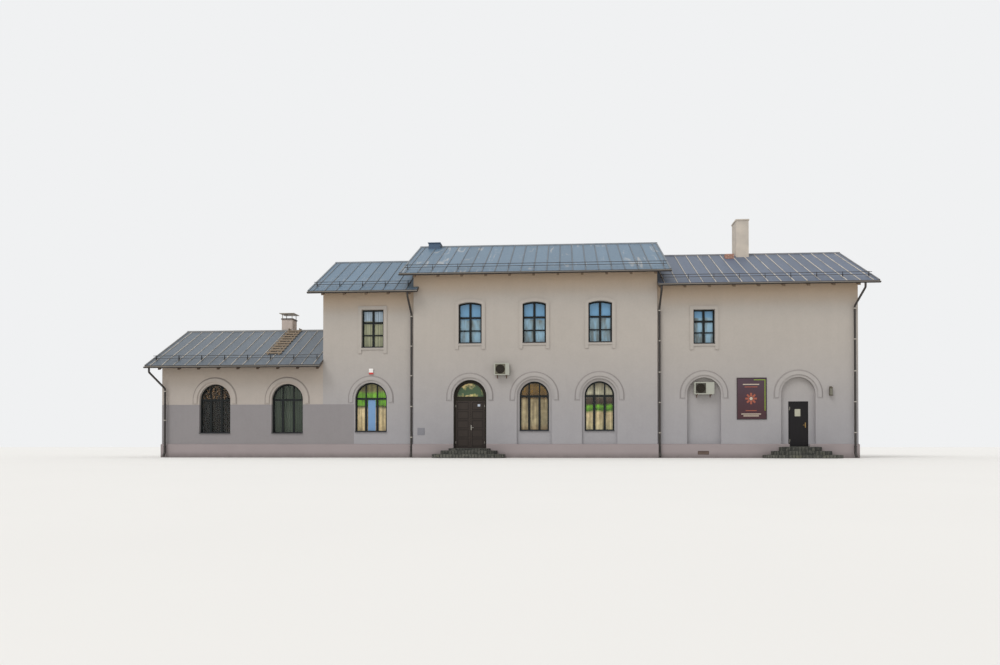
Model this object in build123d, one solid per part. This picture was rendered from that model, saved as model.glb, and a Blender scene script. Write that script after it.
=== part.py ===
"""Railway station building: one single-storey wing and three two-storey blocks in a row.

Millimetres. X runs along the street front, Y runs from the street (negative) to the rear,
Z is up. The origin lies on the ground under the ridge of the central block, halfway along
the building. Blocks from left to right: a (low wing), b (lower house), c (central house
with the main door), d (right house with the side door).
"""
import math
import os
from dataclasses import dataclass

from build123d import *

# Block lengths along the front
A_LENGTH = 8220.0
B_LENGTH = 4550.0
C_LENGTH = 11780.0
D_LENGTH = 9390.0

# Depths from front face to rear face
A_DEPTH = 8300.0
B_DEPTH = 8860.0
C_DEPTH = 11000.0
D_REAR_SETBACK = 540.0
C_PROJECTION = 200.0

# Heights above the ground
A_EAVE = 4550.0
A_RIDGE = 6850.0
B_EAVE = 8140.0
B_RIDGE = 10590.0
C_EAVE = 8910.0
C_RIDGE = 11570.0
D_EAVE = 8280.0
D_RIDGE = 10830.0
MAIN_FLOOR = 465.0
D_FLOOR = 565.0
UPPER_FLOOR = 4570.0
UPPER_FLOOR_THICKNESS = 300.0

# Walls and plinth
WALL = 450.0
PLINTH_HEIGHT = 670.0
PLINTH_REACH = 45.0
PLINTH_CHAMFER = 30.0

# Roofs
ROOF_THICKNESS = 120.0
EAVE_REACH = 650.0
VERGE_REACH = 600.0
D_VERGE_REACH = 800.0
B_EAVE_LAP = 260.0
TAIL_WIDTH = 120.0
TAIL_DEPTH = 110.0
TAIL_SETBACK = 60.0
A_TAIL_PITCH = 950.0
TAIL_PITCH = 1100.0
PURLIN_WIDTH = 160.0
PURLIN_DEPTH = 180.0
PURLIN_SETBACK = 80.0

# Gutters and downpipes
GUTTER_RADIUS = 72.0
GUTTER_SHEET = 5.0
GUTTER_DROP = 30.0
PIPE_RADIUS = 50.0
PIPE_SHEET = 4.0
PIPE_OFF_WALL = 45.0
PIPE_FOOT = 180.0
PIPE_BEND = 110.0
PIPE_NECK = 780.0
BRACKET_PITCH = 1470.0
BRACKET_HEIGHT = 30.0
BRACKET_RING = 6.0
BRACKET_STEM = 24.0
PIPE_OUTLET = 200.0

# How far each downpipe's outlet and its line on the wall stand from the block's corner
A_PIPE = (-330.0, 215.0)
B_PIPE = (-205.0, -110.0)
D_LEFT_PIPE = (150.0, 110.0)
D_RIGHT_PIPE = (110.0, -190.0)

# Snow guards
GUARD_RUN = 620.0
GUARD_PITCH = 1180.0
GUARD_INSET = 300.0
GUARD_HEIGHT = 270.0
GUARD_FOOT = 200.0
GUARD_HEAD = 60.0
GUARD_PLATE = 10.0
RAIL_RADIUS = 14.0
RAIL_HEIGHTS = (120.0, 240.0)

# Ground-floor openings. Each place along the front is measured from its block's left end
AB_OPENING = 1590.0
A_SILL = 1190.0
B_SILL = 1250.0
A_SPRING = 2860.0
B_SPRING = 2900.0
C_NICHE = 1690.0
C_WINDOW = 1425.0
C_SILL = 1290.0
C_SPRING = 2980.0
D_NICHE = 1600.0
D_SPRING = 3050.0
NICHE_DEPTH = 110.0
D_NICHE_DEPTH = 200.0
REVEAL = 180.0
NICHE_REVEAL = 60.0
A_WINDOW_X = (2720.0, 6410.0)
B_WINDOW_X = 2400.0
C_DOOR_X = 2770.0
C_WINDOW_X = (5895.0, 9030.0)
D_NICHE_X = (2220.0, 6620.0)

# Window frames
FRAME_FACE = 75.0
FRAME_DEPTH = 85.0
BAR_FACE = 60.0
BAR_DEPTH = 45.0
STILE_FACE = 110.0
TRANSOM_FACE = 95.0
CENTRE_LIGHT = 0.35
PANE = 18.0
SILL_REACH = 60.0
SILL_THICKNESS = 35.0

# Arch hoods and window surrounds
HOOD_REACH = 350.0
HOOD_BAND = 235.0
HOOD_DROP = 230.0
HOOD_PROUD = 45.0
HOOD_BEVEL = 70.0
SURROUND_BAND = 165.0
SURROUND_PROUD = 40.0
SURROUND_SILL = 100.0
EAR_DROP = 280.0
EAR_WIDTH = 165.0

# Upper windows
B_UPPER_X = 2480.0
B_UPPER = (1100.0, 5410.0, 7290.0)
C_UPPER_X = (2780.0, 5900.0, 9070.0)
C_UPPER = (1135.0, 5550.0, 7460.0)
C_UPPER_RISE = 100.0
D_UPPER_X = 2240.0
D_UPPER = (1020.0, 5460.0, 7110.0)
TOP_LIGHT = 0.34

# Main door
DOOR_OPENING = 1610.0
DOOR_FRAME = 80.0
DOOR_FRAME_DEPTH = 90.0
DOOR_TRANSOM = (2780.0, 2945.0)
DOOR_REVEAL = 200.0
LEAF_THICKNESS = 54.0
LEAF_GAP = 8.0
LEAF_LIFT = 15.0
LEAF_PROUD = 8.0
LEAF_STILE = 85.0
LEAF_RAIL = 70.0
PANEL_ROWS = 5
PANEL_DEPTH = 12.0
PANEL_FIELD = 7.0
PANEL_BEVEL = 28.0
KNUCKLE_RADIUS = 10.0
KNUCKLE_LENGTH = 110.0
KNUCKLE_INSET = 260.0
KNUCKLE_STANDOFF = 12.0
HINGE_SEAT = 0.3
HINGE_WING = 30.0
HINGE_RELIEF = 4.0

# Side door
SIDE_OPENING = (930.0, 2695.0)
SIDE_DOOR_X = 6670.0
SIDE_FRAME = 45.0
SIDE_LEAF_THICKNESS = 48.0

# Door handles
HANDLE_REACH = 62.0
HANDLE_LENGTH = 130.0
HANDLE_RADIUS = 10.0
PLATE_WIDTH = 44.0
PLATE_HEIGHT = 240.0
PLATE_THICKNESS = 6.0
HANDLE_HEIGHT = 1000.0

# Steps
MAIN_TREADS = (190.0, 360.0, 465.0)
SIDE_TREADS = (155.0, 340.0, 535.0)
MAIN_STEP_HALF = (1730.0, 1360.0, 1020.0)
SIDE_STEP_HALF = (1740.0, 1350.0, 980.0)
STEP_DEPTHS = (1330.0, 990.0, 650.0)
STEP_CORNER = 420.0

# Chimneys, roof vent and roof ladder
A_CHIMNEY_X = 4880.0
A_CHIMNEY = (600.0, 760.0)
A_CHIMNEY_SHIFT = 780.0
A_CHIMNEY_TOP = 7540.0
CHIMNEY_CAP = 70.0
CHIMNEY_CAP_REACH = 30.0
COVER_SIZE = (830.0, 960.0)
COVER_THICKNESS = 30.0
COVER_TOP = 7890.0
COVER_POST = 30.0
TALL_CHIMNEY_X = 4990.0
TALL_CHIMNEY = (650.0, 1150.0)
TALL_CHIMNEY_TOP = 12600.0
LOW_CHIMNEY_X = 4270.0
LOW_CHIMNEY = (450.0, 450.0)
LOW_CHIMNEY_TOP = 10700.0
LOW_CHIMNEY_SHIFT = -650.0
RIDGE_VENT_X = 240.0
RIDGE_VENT = (620.0, 900.0)
RIDGE_VENT_TOP = 11690.0
RIDGE_VENT_LID = 35.0
RIDGE_VENT_LID_REACH = 40.0
LADDER_X = 5470.0
LADDER_WIDTH = 580.0
LADDER_BOTTOM = 1250.0
LADDER_RAIL = (60.0, 45.0)
LADDER_RUNGS = 10
LADDER_RUNG = (780.0, 170.0, 30.0)
LADDER_HOOK = 320.0
LADDER_HORN = 170.0

# Fittings on the front
AC_C = (3974.0, 4707.0, 3980.0, 4555.0)
AC_D = (1754.0, 2690.0, 3035.0, 3615.0)
AC_DEPTH = 270.0
AC_GAP = 55.0
AC_FAN = (300.0, 220.0, 25.0)
AC_HUB = 66.0
AC_EDGE = 22.0
AC_SEAM = (620.0, 6.0)
AC_BRACKET = 40.0
AC_BRACKET_REACH = 330.0
AC_BRACKET_UPRIGHT = 200.0
AC_BRACKET_INSET = 150.0
SIGN = (3755.0, 5153.0, 1830.0, 3820.0)
SIGN_THICKNESS = 30.0
SIGN_FRAME = 36.0
SIGN_SUNK = 10.0
LAMP = (8010.0, 8203.0, 2950.0, 3385.0)
LAMP_DEPTH = 215.0
LAMP_PLATE = 18.0
LAMP_PLATE_WIDTH = 110.0
LAMP_ARM = 28.0
LAMP_GLASS_RADIUS = 58.0
LAMP_HEAD = 70.0
LAMP_BASE = 30.0
ALARM = (2310.0, 2525.0, 4095.0, 4375.0)
ALARM_DEPTH = 70.0
ALARM_BEVEL = 22.0
VENT = (1920.0, 2435.0, 165.0, 330.0)
HATCH = (205.0, 560.0, 1105.0, 1450.0)
PLATE_PROUD = 12.0
VENT_RIM = 22.0
VENT_SUNK = 8.0

TOTAL_LENGTH = A_LENGTH + B_LENGTH + C_LENGTH + D_LENGTH
FRONT_C = -C_DEPTH / 2
FRONT = FRONT_C + C_PROJECTION
D_DEPTH = C_DEPTH - C_PROJECTION - D_REAR_SETBACK
THROUGH = 50.0
PARTS = {}


@dataclass
class Block:
    """One house of the row: its footprint, its eave and its ridge."""

    x0: float
    x1: float
    front: float
    depth: float
    eave: float
    ridge: float

    @property
    def rear(self):
        return self.front + self.depth

    @property
    def middle(self):
        return self.front + self.depth / 2

    @property
    def slope(self):
        return (self.ridge - self.eave) / (self.depth / 2 + EAVE_REACH)

    @property
    def deck(self):
        """Thickness of the roof measured straight down."""
        return ROOF_THICKNESS * math.hypot(1.0, self.slope)

    def at(self, x):
        """A place along the front, measured from the block's left end."""
        return self.x0 + x

    def top(self, y):
        """Height of the roof's upper face at y."""
        return self.ridge - abs(y - self.middle) * self.slope

    def under(self, y):
        """Height of the roof's lower face at y."""
        return self.top(y) - self.deck


LEFT = -TOTAL_LENGTH / 2
A = Block(LEFT, LEFT + A_LENGTH, FRONT, A_DEPTH, A_EAVE, A_RIDGE)
B = Block(A.x1, A.x1 + B_LENGTH, FRONT, B_DEPTH, B_EAVE, B_RIDGE)
C = Block(B.x1, B.x1 + C_LENGTH, FRONT_C, C_DEPTH, C_EAVE, C_RIDGE)
D = Block(C.x1, C.x1 + D_LENGTH, FRONT, D_DEPTH, D_EAVE, D_RIDGE)
BLOCKS = (A, B, C, D)


def box(x0, x1, y0, y1, z0, z1):
    """A box between two corners."""
    centre = Location(((x0 + x1) / 2, (y0 + y1) / 2, (z0 + z1) / 2))
    return centre * Box(x1 - x0, y1 - y0, z1 - z0)


def along_x(points, x0, x1):
    """A prism along X over an outline of (y, z) points."""
    outline = make_face(Polyline(*points, close=True))
    return extrude(Plane.YZ.offset(x0) * outline, amount=x1 - x0)


def fuse(solids):
    """One solid or compound from a list that touches."""
    whole = solids[0]
    for solid in solids[1:]:
        whole = whole + solid
    return whole


def front_face(block, x):
    """The plane of a block's front face at x, with its normal to the street."""
    return Plane(origin=(block.at(x), block.front, 0), x_dir=(1, 0, 0), z_dir=(0, -1, 0))


def rear_face(block, x):
    """The plane of a block's rear face at x, with its normal to the rear."""
    return Plane(origin=(block.at(x), block.rear, 0), x_dir=(-1, 0, 0), z_dir=(0, 1, 0))


def left_face(block):
    """The plane of a block's left end at its middle."""
    return Plane(origin=(block.x0, block.middle, 0), x_dir=(0, -1, 0), z_dir=(-1, 0, 0))


def right_face(block):
    """The plane of a block's right end at its middle."""
    return Plane(origin=(block.x1, block.middle, 0), x_dir=(0, 1, 0), z_dir=(1, 0, 0))


def arch_outline(width, bottom, spring, rise=None):
    """A round-headed outline, or a flatter head where a rise is given."""
    half = width / 2
    top = spring + (half if rise is None else rise)
    sides = Polyline((-half, spring), (-half, bottom), (half, bottom), (half, spring))
    if top == spring:
        return make_face(sides + Line((half, spring), (-half, spring)))
    return make_face(sides + ThreePointArc((half, spring), (0, top), (-half, spring)))


def offset_rise(half, rise, offset):
    """The rise of a flat arch drawn outside (or inside, below zero) another one."""
    if rise == 0:
        return 0.0
    radius = (half ** 2 + rise ** 2) / (2 * rise) + offset
    return radius - math.sqrt(radius ** 2 - (half + offset) ** 2)


def bar(x0, x1, z0, z1):
    """A flat rectangle in the plane of a wall."""
    return Location(((x0 + x1) / 2, (z0 + z1) / 2)) * Rectangle(x1 - x0, z1 - z0)


def sunk(plane, outline, start, depth):
    """A solid that starts below a wall's face and goes deeper into the wall."""
    return extrude(plane.offset(-start) * outline, amount=-depth)


def proud(plane, outline, reach):
    """A solid that stands out from a wall's face."""
    return extrude(plane * outline, amount=reach)


@dataclass
class Opening:
    """A window: where it is, and the outline of its hole, its niche and its head."""

    plane: Plane
    width: float
    sill: float
    spring: float
    rise: float = None
    niche: float = None
    arched: bool = True

    def outline(self, inset=0.0):
        """The hole's outline, drawn in on every side by an inset."""
        width = self.width - 2 * inset
        if self.rise is None:
            return arch_outline(width, self.sill + inset, self.spring)
        rise = offset_rise(self.width / 2, self.rise, -inset)
        return arch_outline(width, self.sill + inset, self.head - inset - rise, rise)

    @property
    def setback(self):
        """How far the frame lies behind the wall's face."""
        return REVEAL if self.niche is None else NICHE_DEPTH + NICHE_REVEAL

    @property
    def head(self):
        """Height of the opening's crown."""
        return self.spring + (self.width / 2 if self.rise is None else self.rise)

    def cutter(self):
        """What is taken out of the wall: the hole, and the niche round it."""
        hole = sunk(self.plane, self.outline(), -THROUGH, WALL + 2 * THROUGH)
        if self.niche is None:
            return [hole]
        shape = arch_outline(self.niche, PLINTH_HEIGHT, self.spring)
        return [hole, sunk(self.plane, shape, -THROUGH, NICHE_DEPTH + THROUGH)]


def ground_windows(block, face, xs, width, sill, spring, niche=None):
    """Arched openings along one face of a block."""
    return [Opening(face(block, x), width, sill, spring, niche=niche) for x in xs]


def upper_windows(block, face, xs, size, rise=0.0):
    """Upper-floor openings along one face of a block."""
    width, sill, spring = size
    return [Opening(face(block, x), width, sill, spring, rise, arched=False) for x in xs]


A_FRONT = ground_windows(A, front_face, A_WINDOW_X, AB_OPENING, A_SILL, A_SPRING)
A_REAR = ground_windows(A, rear_face, A_WINDOW_X, AB_OPENING, A_SILL, A_SPRING)
A_END = [Opening(left_face(A), AB_OPENING, A_SILL, A_SPRING)]
B_FRONT = ground_windows(B, front_face, (B_WINDOW_X,), AB_OPENING, B_SILL, B_SPRING)
B_REAR = ground_windows(B, rear_face, (B_WINDOW_X,), AB_OPENING, B_SILL, B_SPRING)
C_FRONT = ground_windows(C, front_face, C_WINDOW_X, C_WINDOW, C_SILL, C_SPRING, C_NICHE)
C_REAR_X = (C_DOOR_X,) + C_WINDOW_X
C_REAR = ground_windows(C, rear_face, C_REAR_X, C_WINDOW, C_SILL, C_SPRING, C_NICHE)
D_REAR = ground_windows(D, rear_face, D_NICHE_X, C_WINDOW, C_SILL, D_SPRING, C_NICHE)
D_END = [Opening(right_face(D), C_WINDOW, C_SILL, D_SPRING, niche=C_NICHE)]
B_UP_FRONT = upper_windows(B, front_face, (B_UPPER_X,), B_UPPER)
B_UP_REAR = upper_windows(B, rear_face, (B_UPPER_X,), B_UPPER)
C_UP_FRONT = upper_windows(C, front_face, C_UPPER_X, C_UPPER, C_UPPER_RISE)
C_UP_REAR = upper_windows(C, rear_face, C_UPPER_X, C_UPPER, C_UPPER_RISE)
D_UP_FRONT = upper_windows(D, front_face, (D_UPPER_X,), D_UPPER)
D_UP_REAR = upper_windows(D, rear_face, (D_UPPER_X,), D_UPPER)
D_UP_END = [Opening(right_face(D), *D_UPPER, 0.0, arched=False)]
GROUND = A_FRONT + A_REAR + A_END + B_FRONT + B_REAR + C_FRONT + C_REAR + D_REAR + D_END
UPPER = B_UP_FRONT + B_UP_REAR + C_UP_FRONT + C_UP_REAR + D_UP_FRONT + D_UP_REAR + D_UP_END


def cut(wall, openings):
    """Take each opening, and the niche round it, out of a wall."""
    for opening in openings:
        for tool in opening.cutter():
            wall = wall - tool
    return wall


def long_wall(block, y0, y1, x0=None, x1=None):
    """A front or rear wall whose top follows the roof."""
    x0 = block.x0 if x0 is None else x0
    x1 = block.x1 if x1 is None else x1
    points = [(y0, 0), (y1, 0), (y1, block.under(y1)), (y0, block.under(y0))]
    return along_x(points, x0, x1)


def gable_wall(block, x0, x1):
    """An end wall between the front and rear walls, up to the roof."""
    y0 = block.front + WALL
    y1 = block.rear - WALL
    middle = block.middle
    points = [(y0, 0), (y1, 0), (y1, block.under(y1)), (middle, block.under(middle))]
    return along_x(points + [(y0, block.under(y0))], x0, x1)


def main_door_hole():
    """The arched doorway through the central block's front wall."""
    shape = arch_outline(DOOR_OPENING, 0, C_SPRING)
    return sunk(front_face(C, C_DOOR_X), shape, -THROUGH, WALL + 2 * THROUGH)


def side_door_hole():
    """The doorway at the back of the right-hand niche."""
    width, top = SIDE_OPENING
    shape = bar(-width / 2, width / 2, 0, top)
    return sunk(front_face(D, SIDE_DOOR_X), shape, -THROUGH, WALL + 2 * THROUGH)


def d_niche(x):
    """A blind arched niche in the right block's front wall."""
    shape = arch_outline(D_NICHE, PLINTH_HEIGHT, D_SPRING)
    return sunk(front_face(D, x), shape, -THROUGH, D_NICHE_DEPTH + THROUGH)


def split_at_door(wall, block, x, width, spring):
    """The wall's pieces left of a doorway, over it and right of it."""
    deep = (block.front - THROUGH, block.front + WALL + THROUGH)
    x0 = block.at(x) - width / 2
    x1 = block.at(x) + width / 2
    left = wall & box(block.x0 - THROUGH, x0, *deep, 0, block.ridge)
    over = wall & box(x0, x1, *deep, spring, block.ridge)
    right = wall & box(x1, block.x1 + THROUGH, *deep, 0, block.ridge)
    return left, over, right


def make_walls():
    """Outer walls of every block, hollow inside, with their openings cut through."""
    PARTS["a_front_wall"] = cut(long_wall(A, A.front, A.front + WALL), A_FRONT)
    PARTS["a_rear_wall"] = cut(long_wall(A, A.rear - WALL, A.rear), A_REAR)
    PARTS["a_gable_wall"] = cut(gable_wall(A, A.x0, A.x0 + WALL), A_END)
    PARTS["b_front_wall"] = cut(long_wall(B, B.front, B.front + WALL), B_FRONT + B_UP_FRONT)
    PARTS["b_rear_wall"] = cut(long_wall(B, B.rear - WALL, B.rear), B_REAR + B_UP_REAR)
    PARTS["b_gable_wall"] = gable_wall(B, B.x0, B.x0 + WALL)
    PARTS["c_left_gable_wall"] = gable_wall(C, C.x0, C.x0 + WALL)
    PARTS["c_right_gable_wall"] = gable_wall(C, C.x1 - WALL, C.x1)
    PARTS["c_rear_wall"] = cut(long_wall(C, C.rear - WALL, C.rear), C_REAR + C_UP_REAR)
    front = cut(long_wall(C, C.front, C.front + WALL), C_FRONT + C_UP_FRONT) - main_door_hole()
    pieces = split_at_door(front, C, C_DOOR_X, DOOR_OPENING, C_SPRING)
    for place, piece in zip(("left", "over_door", "right"), pieces):
        PARTS[f"c_front_wall_{place}"] = piece
    front = cut(long_wall(D, D.front, D.front + WALL), D_UP_FRONT) - side_door_hole()
    for x in D_NICHE_X:
        front = front - d_niche(x)
    pieces = split_at_door(front, D, SIDE_DOOR_X, *SIDE_OPENING)
    for place, piece in zip(("left", "over_door", "right"), pieces):
        PARTS[f"d_front_wall_{place}"] = piece
    PARTS["d_rear_wall"] = cut(long_wall(D, D.rear - WALL, D.rear), D_REAR + D_UP_REAR)
    PARTS["d_gable_wall"] = cut(gable_wall(D, D.x1 - WALL, D.x1), D_END + D_UP_END)


def make_plinth():
    """The projecting base course round the row, open at both doors."""
    reach = PLINTH_REACH
    course = None
    for block in BLOCKS:
        body = box(block.x0 - reach, block.x1 + reach, block.front - reach, block.rear + reach,
                   0, PLINTH_HEIGHT)
        body = chamfer(body.edges().group_by(Axis.Z)[-1], PLINTH_CHAMFER)
        course = body if course is None else course + body
    for block in BLOCKS:
        course = course - box(block.x0, block.x1, block.front, block.rear, 0, PLINTH_HEIGHT)
    gaps = ((C_DOOR_X, DOOR_OPENING, C), (SIDE_DOOR_X, SIDE_OPENING[0], D))
    for place, width, block in gaps:
        x = block.at(place)
        y = block.front
        course = course - box(x - width / 2, x + width / 2, y - 2 * reach, y, 0, PLINTH_HEIGHT)
    PARTS["plinth"] = course


def make_floors():
    """Ground floors inside each block, and the upper floor of the two-storey blocks."""
    levels = (MAIN_FLOOR, MAIN_FLOOR, MAIN_FLOOR, D_FLOOR)
    rooms = ((A.x0 + WALL, A.x1), (B.x0 + WALL, B.x1), (C.x0 + WALL, C.x1 - WALL), (D.x0, D.x1 - WALL))
    ground = []
    upper = []
    for block, level, (x0, x1) in zip(BLOCKS, levels, rooms):
        inner = (x0, x1, block.front + WALL, block.rear - WALL)
        ground.append(box(*inner, 0, level))
        if block is not A:
            upper.append(box(*inner, UPPER_FLOOR - UPPER_FLOOR_THICKNESS, UPPER_FLOOR))
    PARTS["ground_floor"] = Compound(children=ground)
    PARTS["upper_floor"] = Compound(children=upper)


def roof(block, x0, x1):
    """Two roof slopes meeting at the ridge."""
    front = block.front - EAVE_REACH
    rear = block.rear + EAVE_REACH
    upper = [(front, block.top(front)), (block.middle, block.ridge), (rear, block.top(rear))]
    lower = [(y, z - block.deck) for y, z in reversed(upper)]
    return along_x(upper + lower, x0, x1)


def make_roofs():
    """The four roofs. That of block b laps a little way across the central front."""
    PARTS["a_roof"] = roof(A, A.x0 - VERGE_REACH, A.x1)
    lap = box(C.x0, C.x0 + B_EAVE_LAP, C.front, C.rear, 0, C.ridge)
    PARTS["b_roof"] = roof(B, B.x0 - VERGE_REACH, B.x1 + B_EAVE_LAP) - lap
    PARTS["c_roof"] = roof(C, C.x0 - VERGE_REACH, C.x1 + VERGE_REACH)
    PARTS["d_roof"] = roof(D, D.x1 - D_LENGTH, D.x1 + D_VERGE_REACH)


def spread(x0, x1, pitch):
    """Evenly spaced places between two ends, about one pitch apart."""
    count = max(round((x1 - x0) / pitch), 1)
    return [x0 + (x1 - x0) * index / count for index in range(count + 1)]


def rafter_tails():
    """Rafter ends that carry the eaves, front and rear."""
    tails = []
    inset = TAIL_WIDTH
    for block, pitch in zip(BLOCKS, (A_TAIL_PITCH, TAIL_PITCH, TAIL_PITCH, TAIL_PITCH)):
        tip = block.front - EAVE_REACH + TAIL_SETBACK
        root = block.front
        points = [(tip, block.under(tip)), (root, block.under(root)),
                  (root, block.under(root) - TAIL_DEPTH), (tip, block.under(tip) - TAIL_DEPTH)]
        for x in spread(block.x0 + inset, block.x1 - inset, pitch):
            tail = along_x(points, x - TAIL_WIDTH / 2, x + TAIL_WIDTH / 2)
            tails.append(tail)
            tails.append(tail.mirror(Plane.XZ.offset(-block.middle)))
    return tails


def purlin_ends():
    """Purlin ends under the verges of the gables that show."""
    ends = []
    gables = ((A, A.x0, -VERGE_REACH), (B, B.x0, -VERGE_REACH), (C, C.x0, -VERGE_REACH),
              (C, C.x1, VERGE_REACH), (D, D.x1, D_VERGE_REACH))
    for block, x, reach in gables:
        tip = x + math.copysign(abs(reach) - PURLIN_SETBACK, reach)
        x0, x1 = sorted((x, tip))
        half = PURLIN_WIDTH / 2
        for y in (block.front + WALL / 2, block.rear - WALL / 2):
            points = [(y - half, block.under(y - half)), (y + half, block.under(y + half)),
                      (y + half, block.under(y) - PURLIN_DEPTH), (y - half, block.under(y) - PURLIN_DEPTH)]
            ends.append(along_x(points, x0, x1))
        y = block.middle
        foot = block.under(y) - PURLIN_DEPTH
        points = [(y - half, block.under(y - half)), (y, block.under(y)), (y + half, block.under(y + half)),
                  (y + half, foot), (y - half, foot)]
        ends.append(along_x(points, x0, x1))
    return ends


def make_eave_timbers():
    """The timber ends that show under the eaves and verges."""
    PARTS["eave_timbers"] = Compound(children=rafter_tails() + purlin_ends())


def gutter_axis(block):
    """Where the middle of the gutter's rim lies, in y and z."""
    return block.front - EAVE_REACH - GUTTER_RADIUS, block.eave - GUTTER_DROP - GUTTER_RADIUS / 2


def gutter_line(block, x0, x1, rear=False):
    """A half-round gutter, open above, against the roof's lower edge."""
    y, z = gutter_axis(block)
    outer = GUTTER_RADIUS
    inner = GUTTER_RADIUS - GUTTER_SHEET
    rim = Line((y - outer, z), (y - inner, z))
    other = Line((y + inner, z), (y + outer, z))
    hollow = ThreePointArc((y - inner, z), (y, z - inner), (y + inner, z))
    shell = ThreePointArc((y + outer, z), (y, z - outer), (y - outer, z))
    section = make_face(rim + hollow + other + shell)
    trough = extrude(Plane.YZ.offset(x0) * section, amount=x1 - x0)
    solid = make_face(shell + Line((y - outer, z), (y + outer, z)))
    for start in (x0, x1 - GUTTER_SHEET):
        trough = trough + extrude(Plane.YZ.offset(start) * solid, amount=GUTTER_SHEET)
    return trough.mirror(Plane.XZ.offset(-block.middle)) if rear else trough


def gutter_spans(rear):
    """The gutter's two ends on each block."""
    lap = 0.0 if rear else B_EAVE_LAP
    return ((A, A.x0 - VERGE_REACH, A.x1), (B, B.x0 - VERGE_REACH, B.x1 + lap),
            (C, C.x0 - VERGE_REACH, C.x1 + VERGE_REACH), (D, D.x0, D.x1 + D_VERGE_REACH))


def make_gutters():
    """Gutters along the front and rear eaves."""
    lines = []
    for rear in (False, True):
        for block, x0, x1 in gutter_spans(rear):
            lines.append(gutter_line(block, x0, x1, rear))
    PARTS["gutters"] = Compound(children=lines)


def pipe_route(block, x_outlet, x_wall):
    """From the gutter's underside, slanting back to the wall and down to the foot."""
    y_gutter, z_rim = gutter_axis(block)
    y_wall = block.front - PLINTH_REACH - PIPE_OFF_WALL - PIPE_RADIUS
    z_top = z_rim - GUTTER_RADIUS
    z_neck = z_top - PIPE_OUTLET
    z_wall = z_neck - PIPE_NECK
    return [(x_outlet, y_gutter, z_top), (x_outlet, y_gutter, z_neck), (x_wall, y_wall, z_wall),
            (x_wall, y_wall, PIPE_FOOT)]


def pipe_places():
    """Each downpipe's block, its outlet and the line that it follows down the wall."""
    corners = ((A, A.x0, A_PIPE), (B, B.x1, B_PIPE), (D, D.x0, D_LEFT_PIPE), (D, D.x1, D_RIGHT_PIPE))
    return [(block, x + outlet, x + line) for block, x, (outlet, line) in corners]


def make_downpipes():
    """Round pipes with a swan neck under each gutter outlet, and their wall brackets."""
    pipes = []
    for block, x_outlet, x_wall in pipe_places():
        route = pipe_route(block, x_outlet, x_wall)
        path = FilletPolyline(*route, radius=PIPE_BEND)
        ring = Circle(PIPE_RADIUS) - Circle(PIPE_RADIUS - PIPE_SHEET)
        section = Plane(origin=route[0], z_dir=(0, 0, -1)) * ring
        pipe = sweep(section, path=path)
        y = route[-1][1]
        count = int((route[2][2] - PIPE_BEND - PLINTH_HEIGHT) // BRACKET_PITCH)
        for index in range(count + 1):
            z = route[2][2] - PIPE_BEND - index * BRACKET_PITCH
            collar = Cylinder(PIPE_RADIUS + BRACKET_RING, BRACKET_HEIGHT)
            bore = Cylinder(PIPE_RADIUS - PIPE_SHEET / 2, BRACKET_HEIGHT)
            collar = Location((x_wall, y, z)) * (collar - bore)
            half = BRACKET_STEM / 2
            stem = box(x_wall - half, x_wall + half, y + PIPE_RADIUS, block.front, z - half, z + half)
            pipe = pipe + (collar + stem)
        pipes += [pipe, pipe.mirror(Plane.XZ.offset(-block.middle))]
    PARTS["downpipes"] = Compound(children=pipes)


def snow_guard(block, x0, x1):
    """Two rails on upright plates, above the front eave."""
    y = block.front - EAVE_REACH + GUARD_RUN
    foot = y - GUARD_FOOT / 2
    back = y + GUARD_FOOT / 2
    head = GUARD_HEAD / 2
    top = block.top(y) + GUARD_HEIGHT
    pieces = []
    for x in spread(x0 + GUARD_INSET, x1 - GUARD_INSET, GUARD_PITCH):
        points = [(foot, block.top(foot)), (back, block.top(back)), (y + head, top), (y - head, top)]
        pieces.append(along_x(points, x - GUARD_PLATE / 2, x + GUARD_PLATE / 2))
    for height in RAIL_HEIGHTS:
        end = Plane.YZ.offset(x0 + GUARD_INSET / 2) * Location((y, block.top(y) + height))
        pieces.append(extrude(end * Circle(RAIL_RADIUS), amount=x1 - x0 - GUARD_INSET))
    return fuse(pieces)


def make_snow_guards():
    """Snow guards on both slopes of every roof."""
    guards = []
    spans = ((A, A.x0 - VERGE_REACH, A.x1), (B, B.x0 - VERGE_REACH, B.x1),
             (C, C.x0 - VERGE_REACH, C.x1 + VERGE_REACH), (D, D.x0, D.x1 + D_VERGE_REACH))
    for block, x0, x1 in spans:
        guard = snow_guard(block, x0, x1)
        guards += [guard, guard.mirror(Plane.XZ.offset(-block.middle))]
    PARTS["snow_guards"] = Compound(children=guards)


def stack(block, x, y, size, z_top):
    """A shaft that stands on a roof, its foot cut to the slopes."""
    width, depth = size
    y0 = y - depth / 2
    y1 = y + depth / 2
    points = [(y0, block.top(y0))]
    if y0 < block.middle < y1:
        points.append((block.middle, block.ridge))
    points += [(y1, block.top(y1)), (y1, z_top), (y0, z_top)]
    return along_x(points, x - width / 2, x + width / 2)


def slab(x, y, size, reach, z0, z1):
    """A flat slab over a shaft, standing out on every side."""
    half_x = size[0] / 2 + reach
    half_y = size[1] / 2 + reach
    return box(x - half_x, x + half_x, y - half_y, y + half_y, z0, z1)


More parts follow.
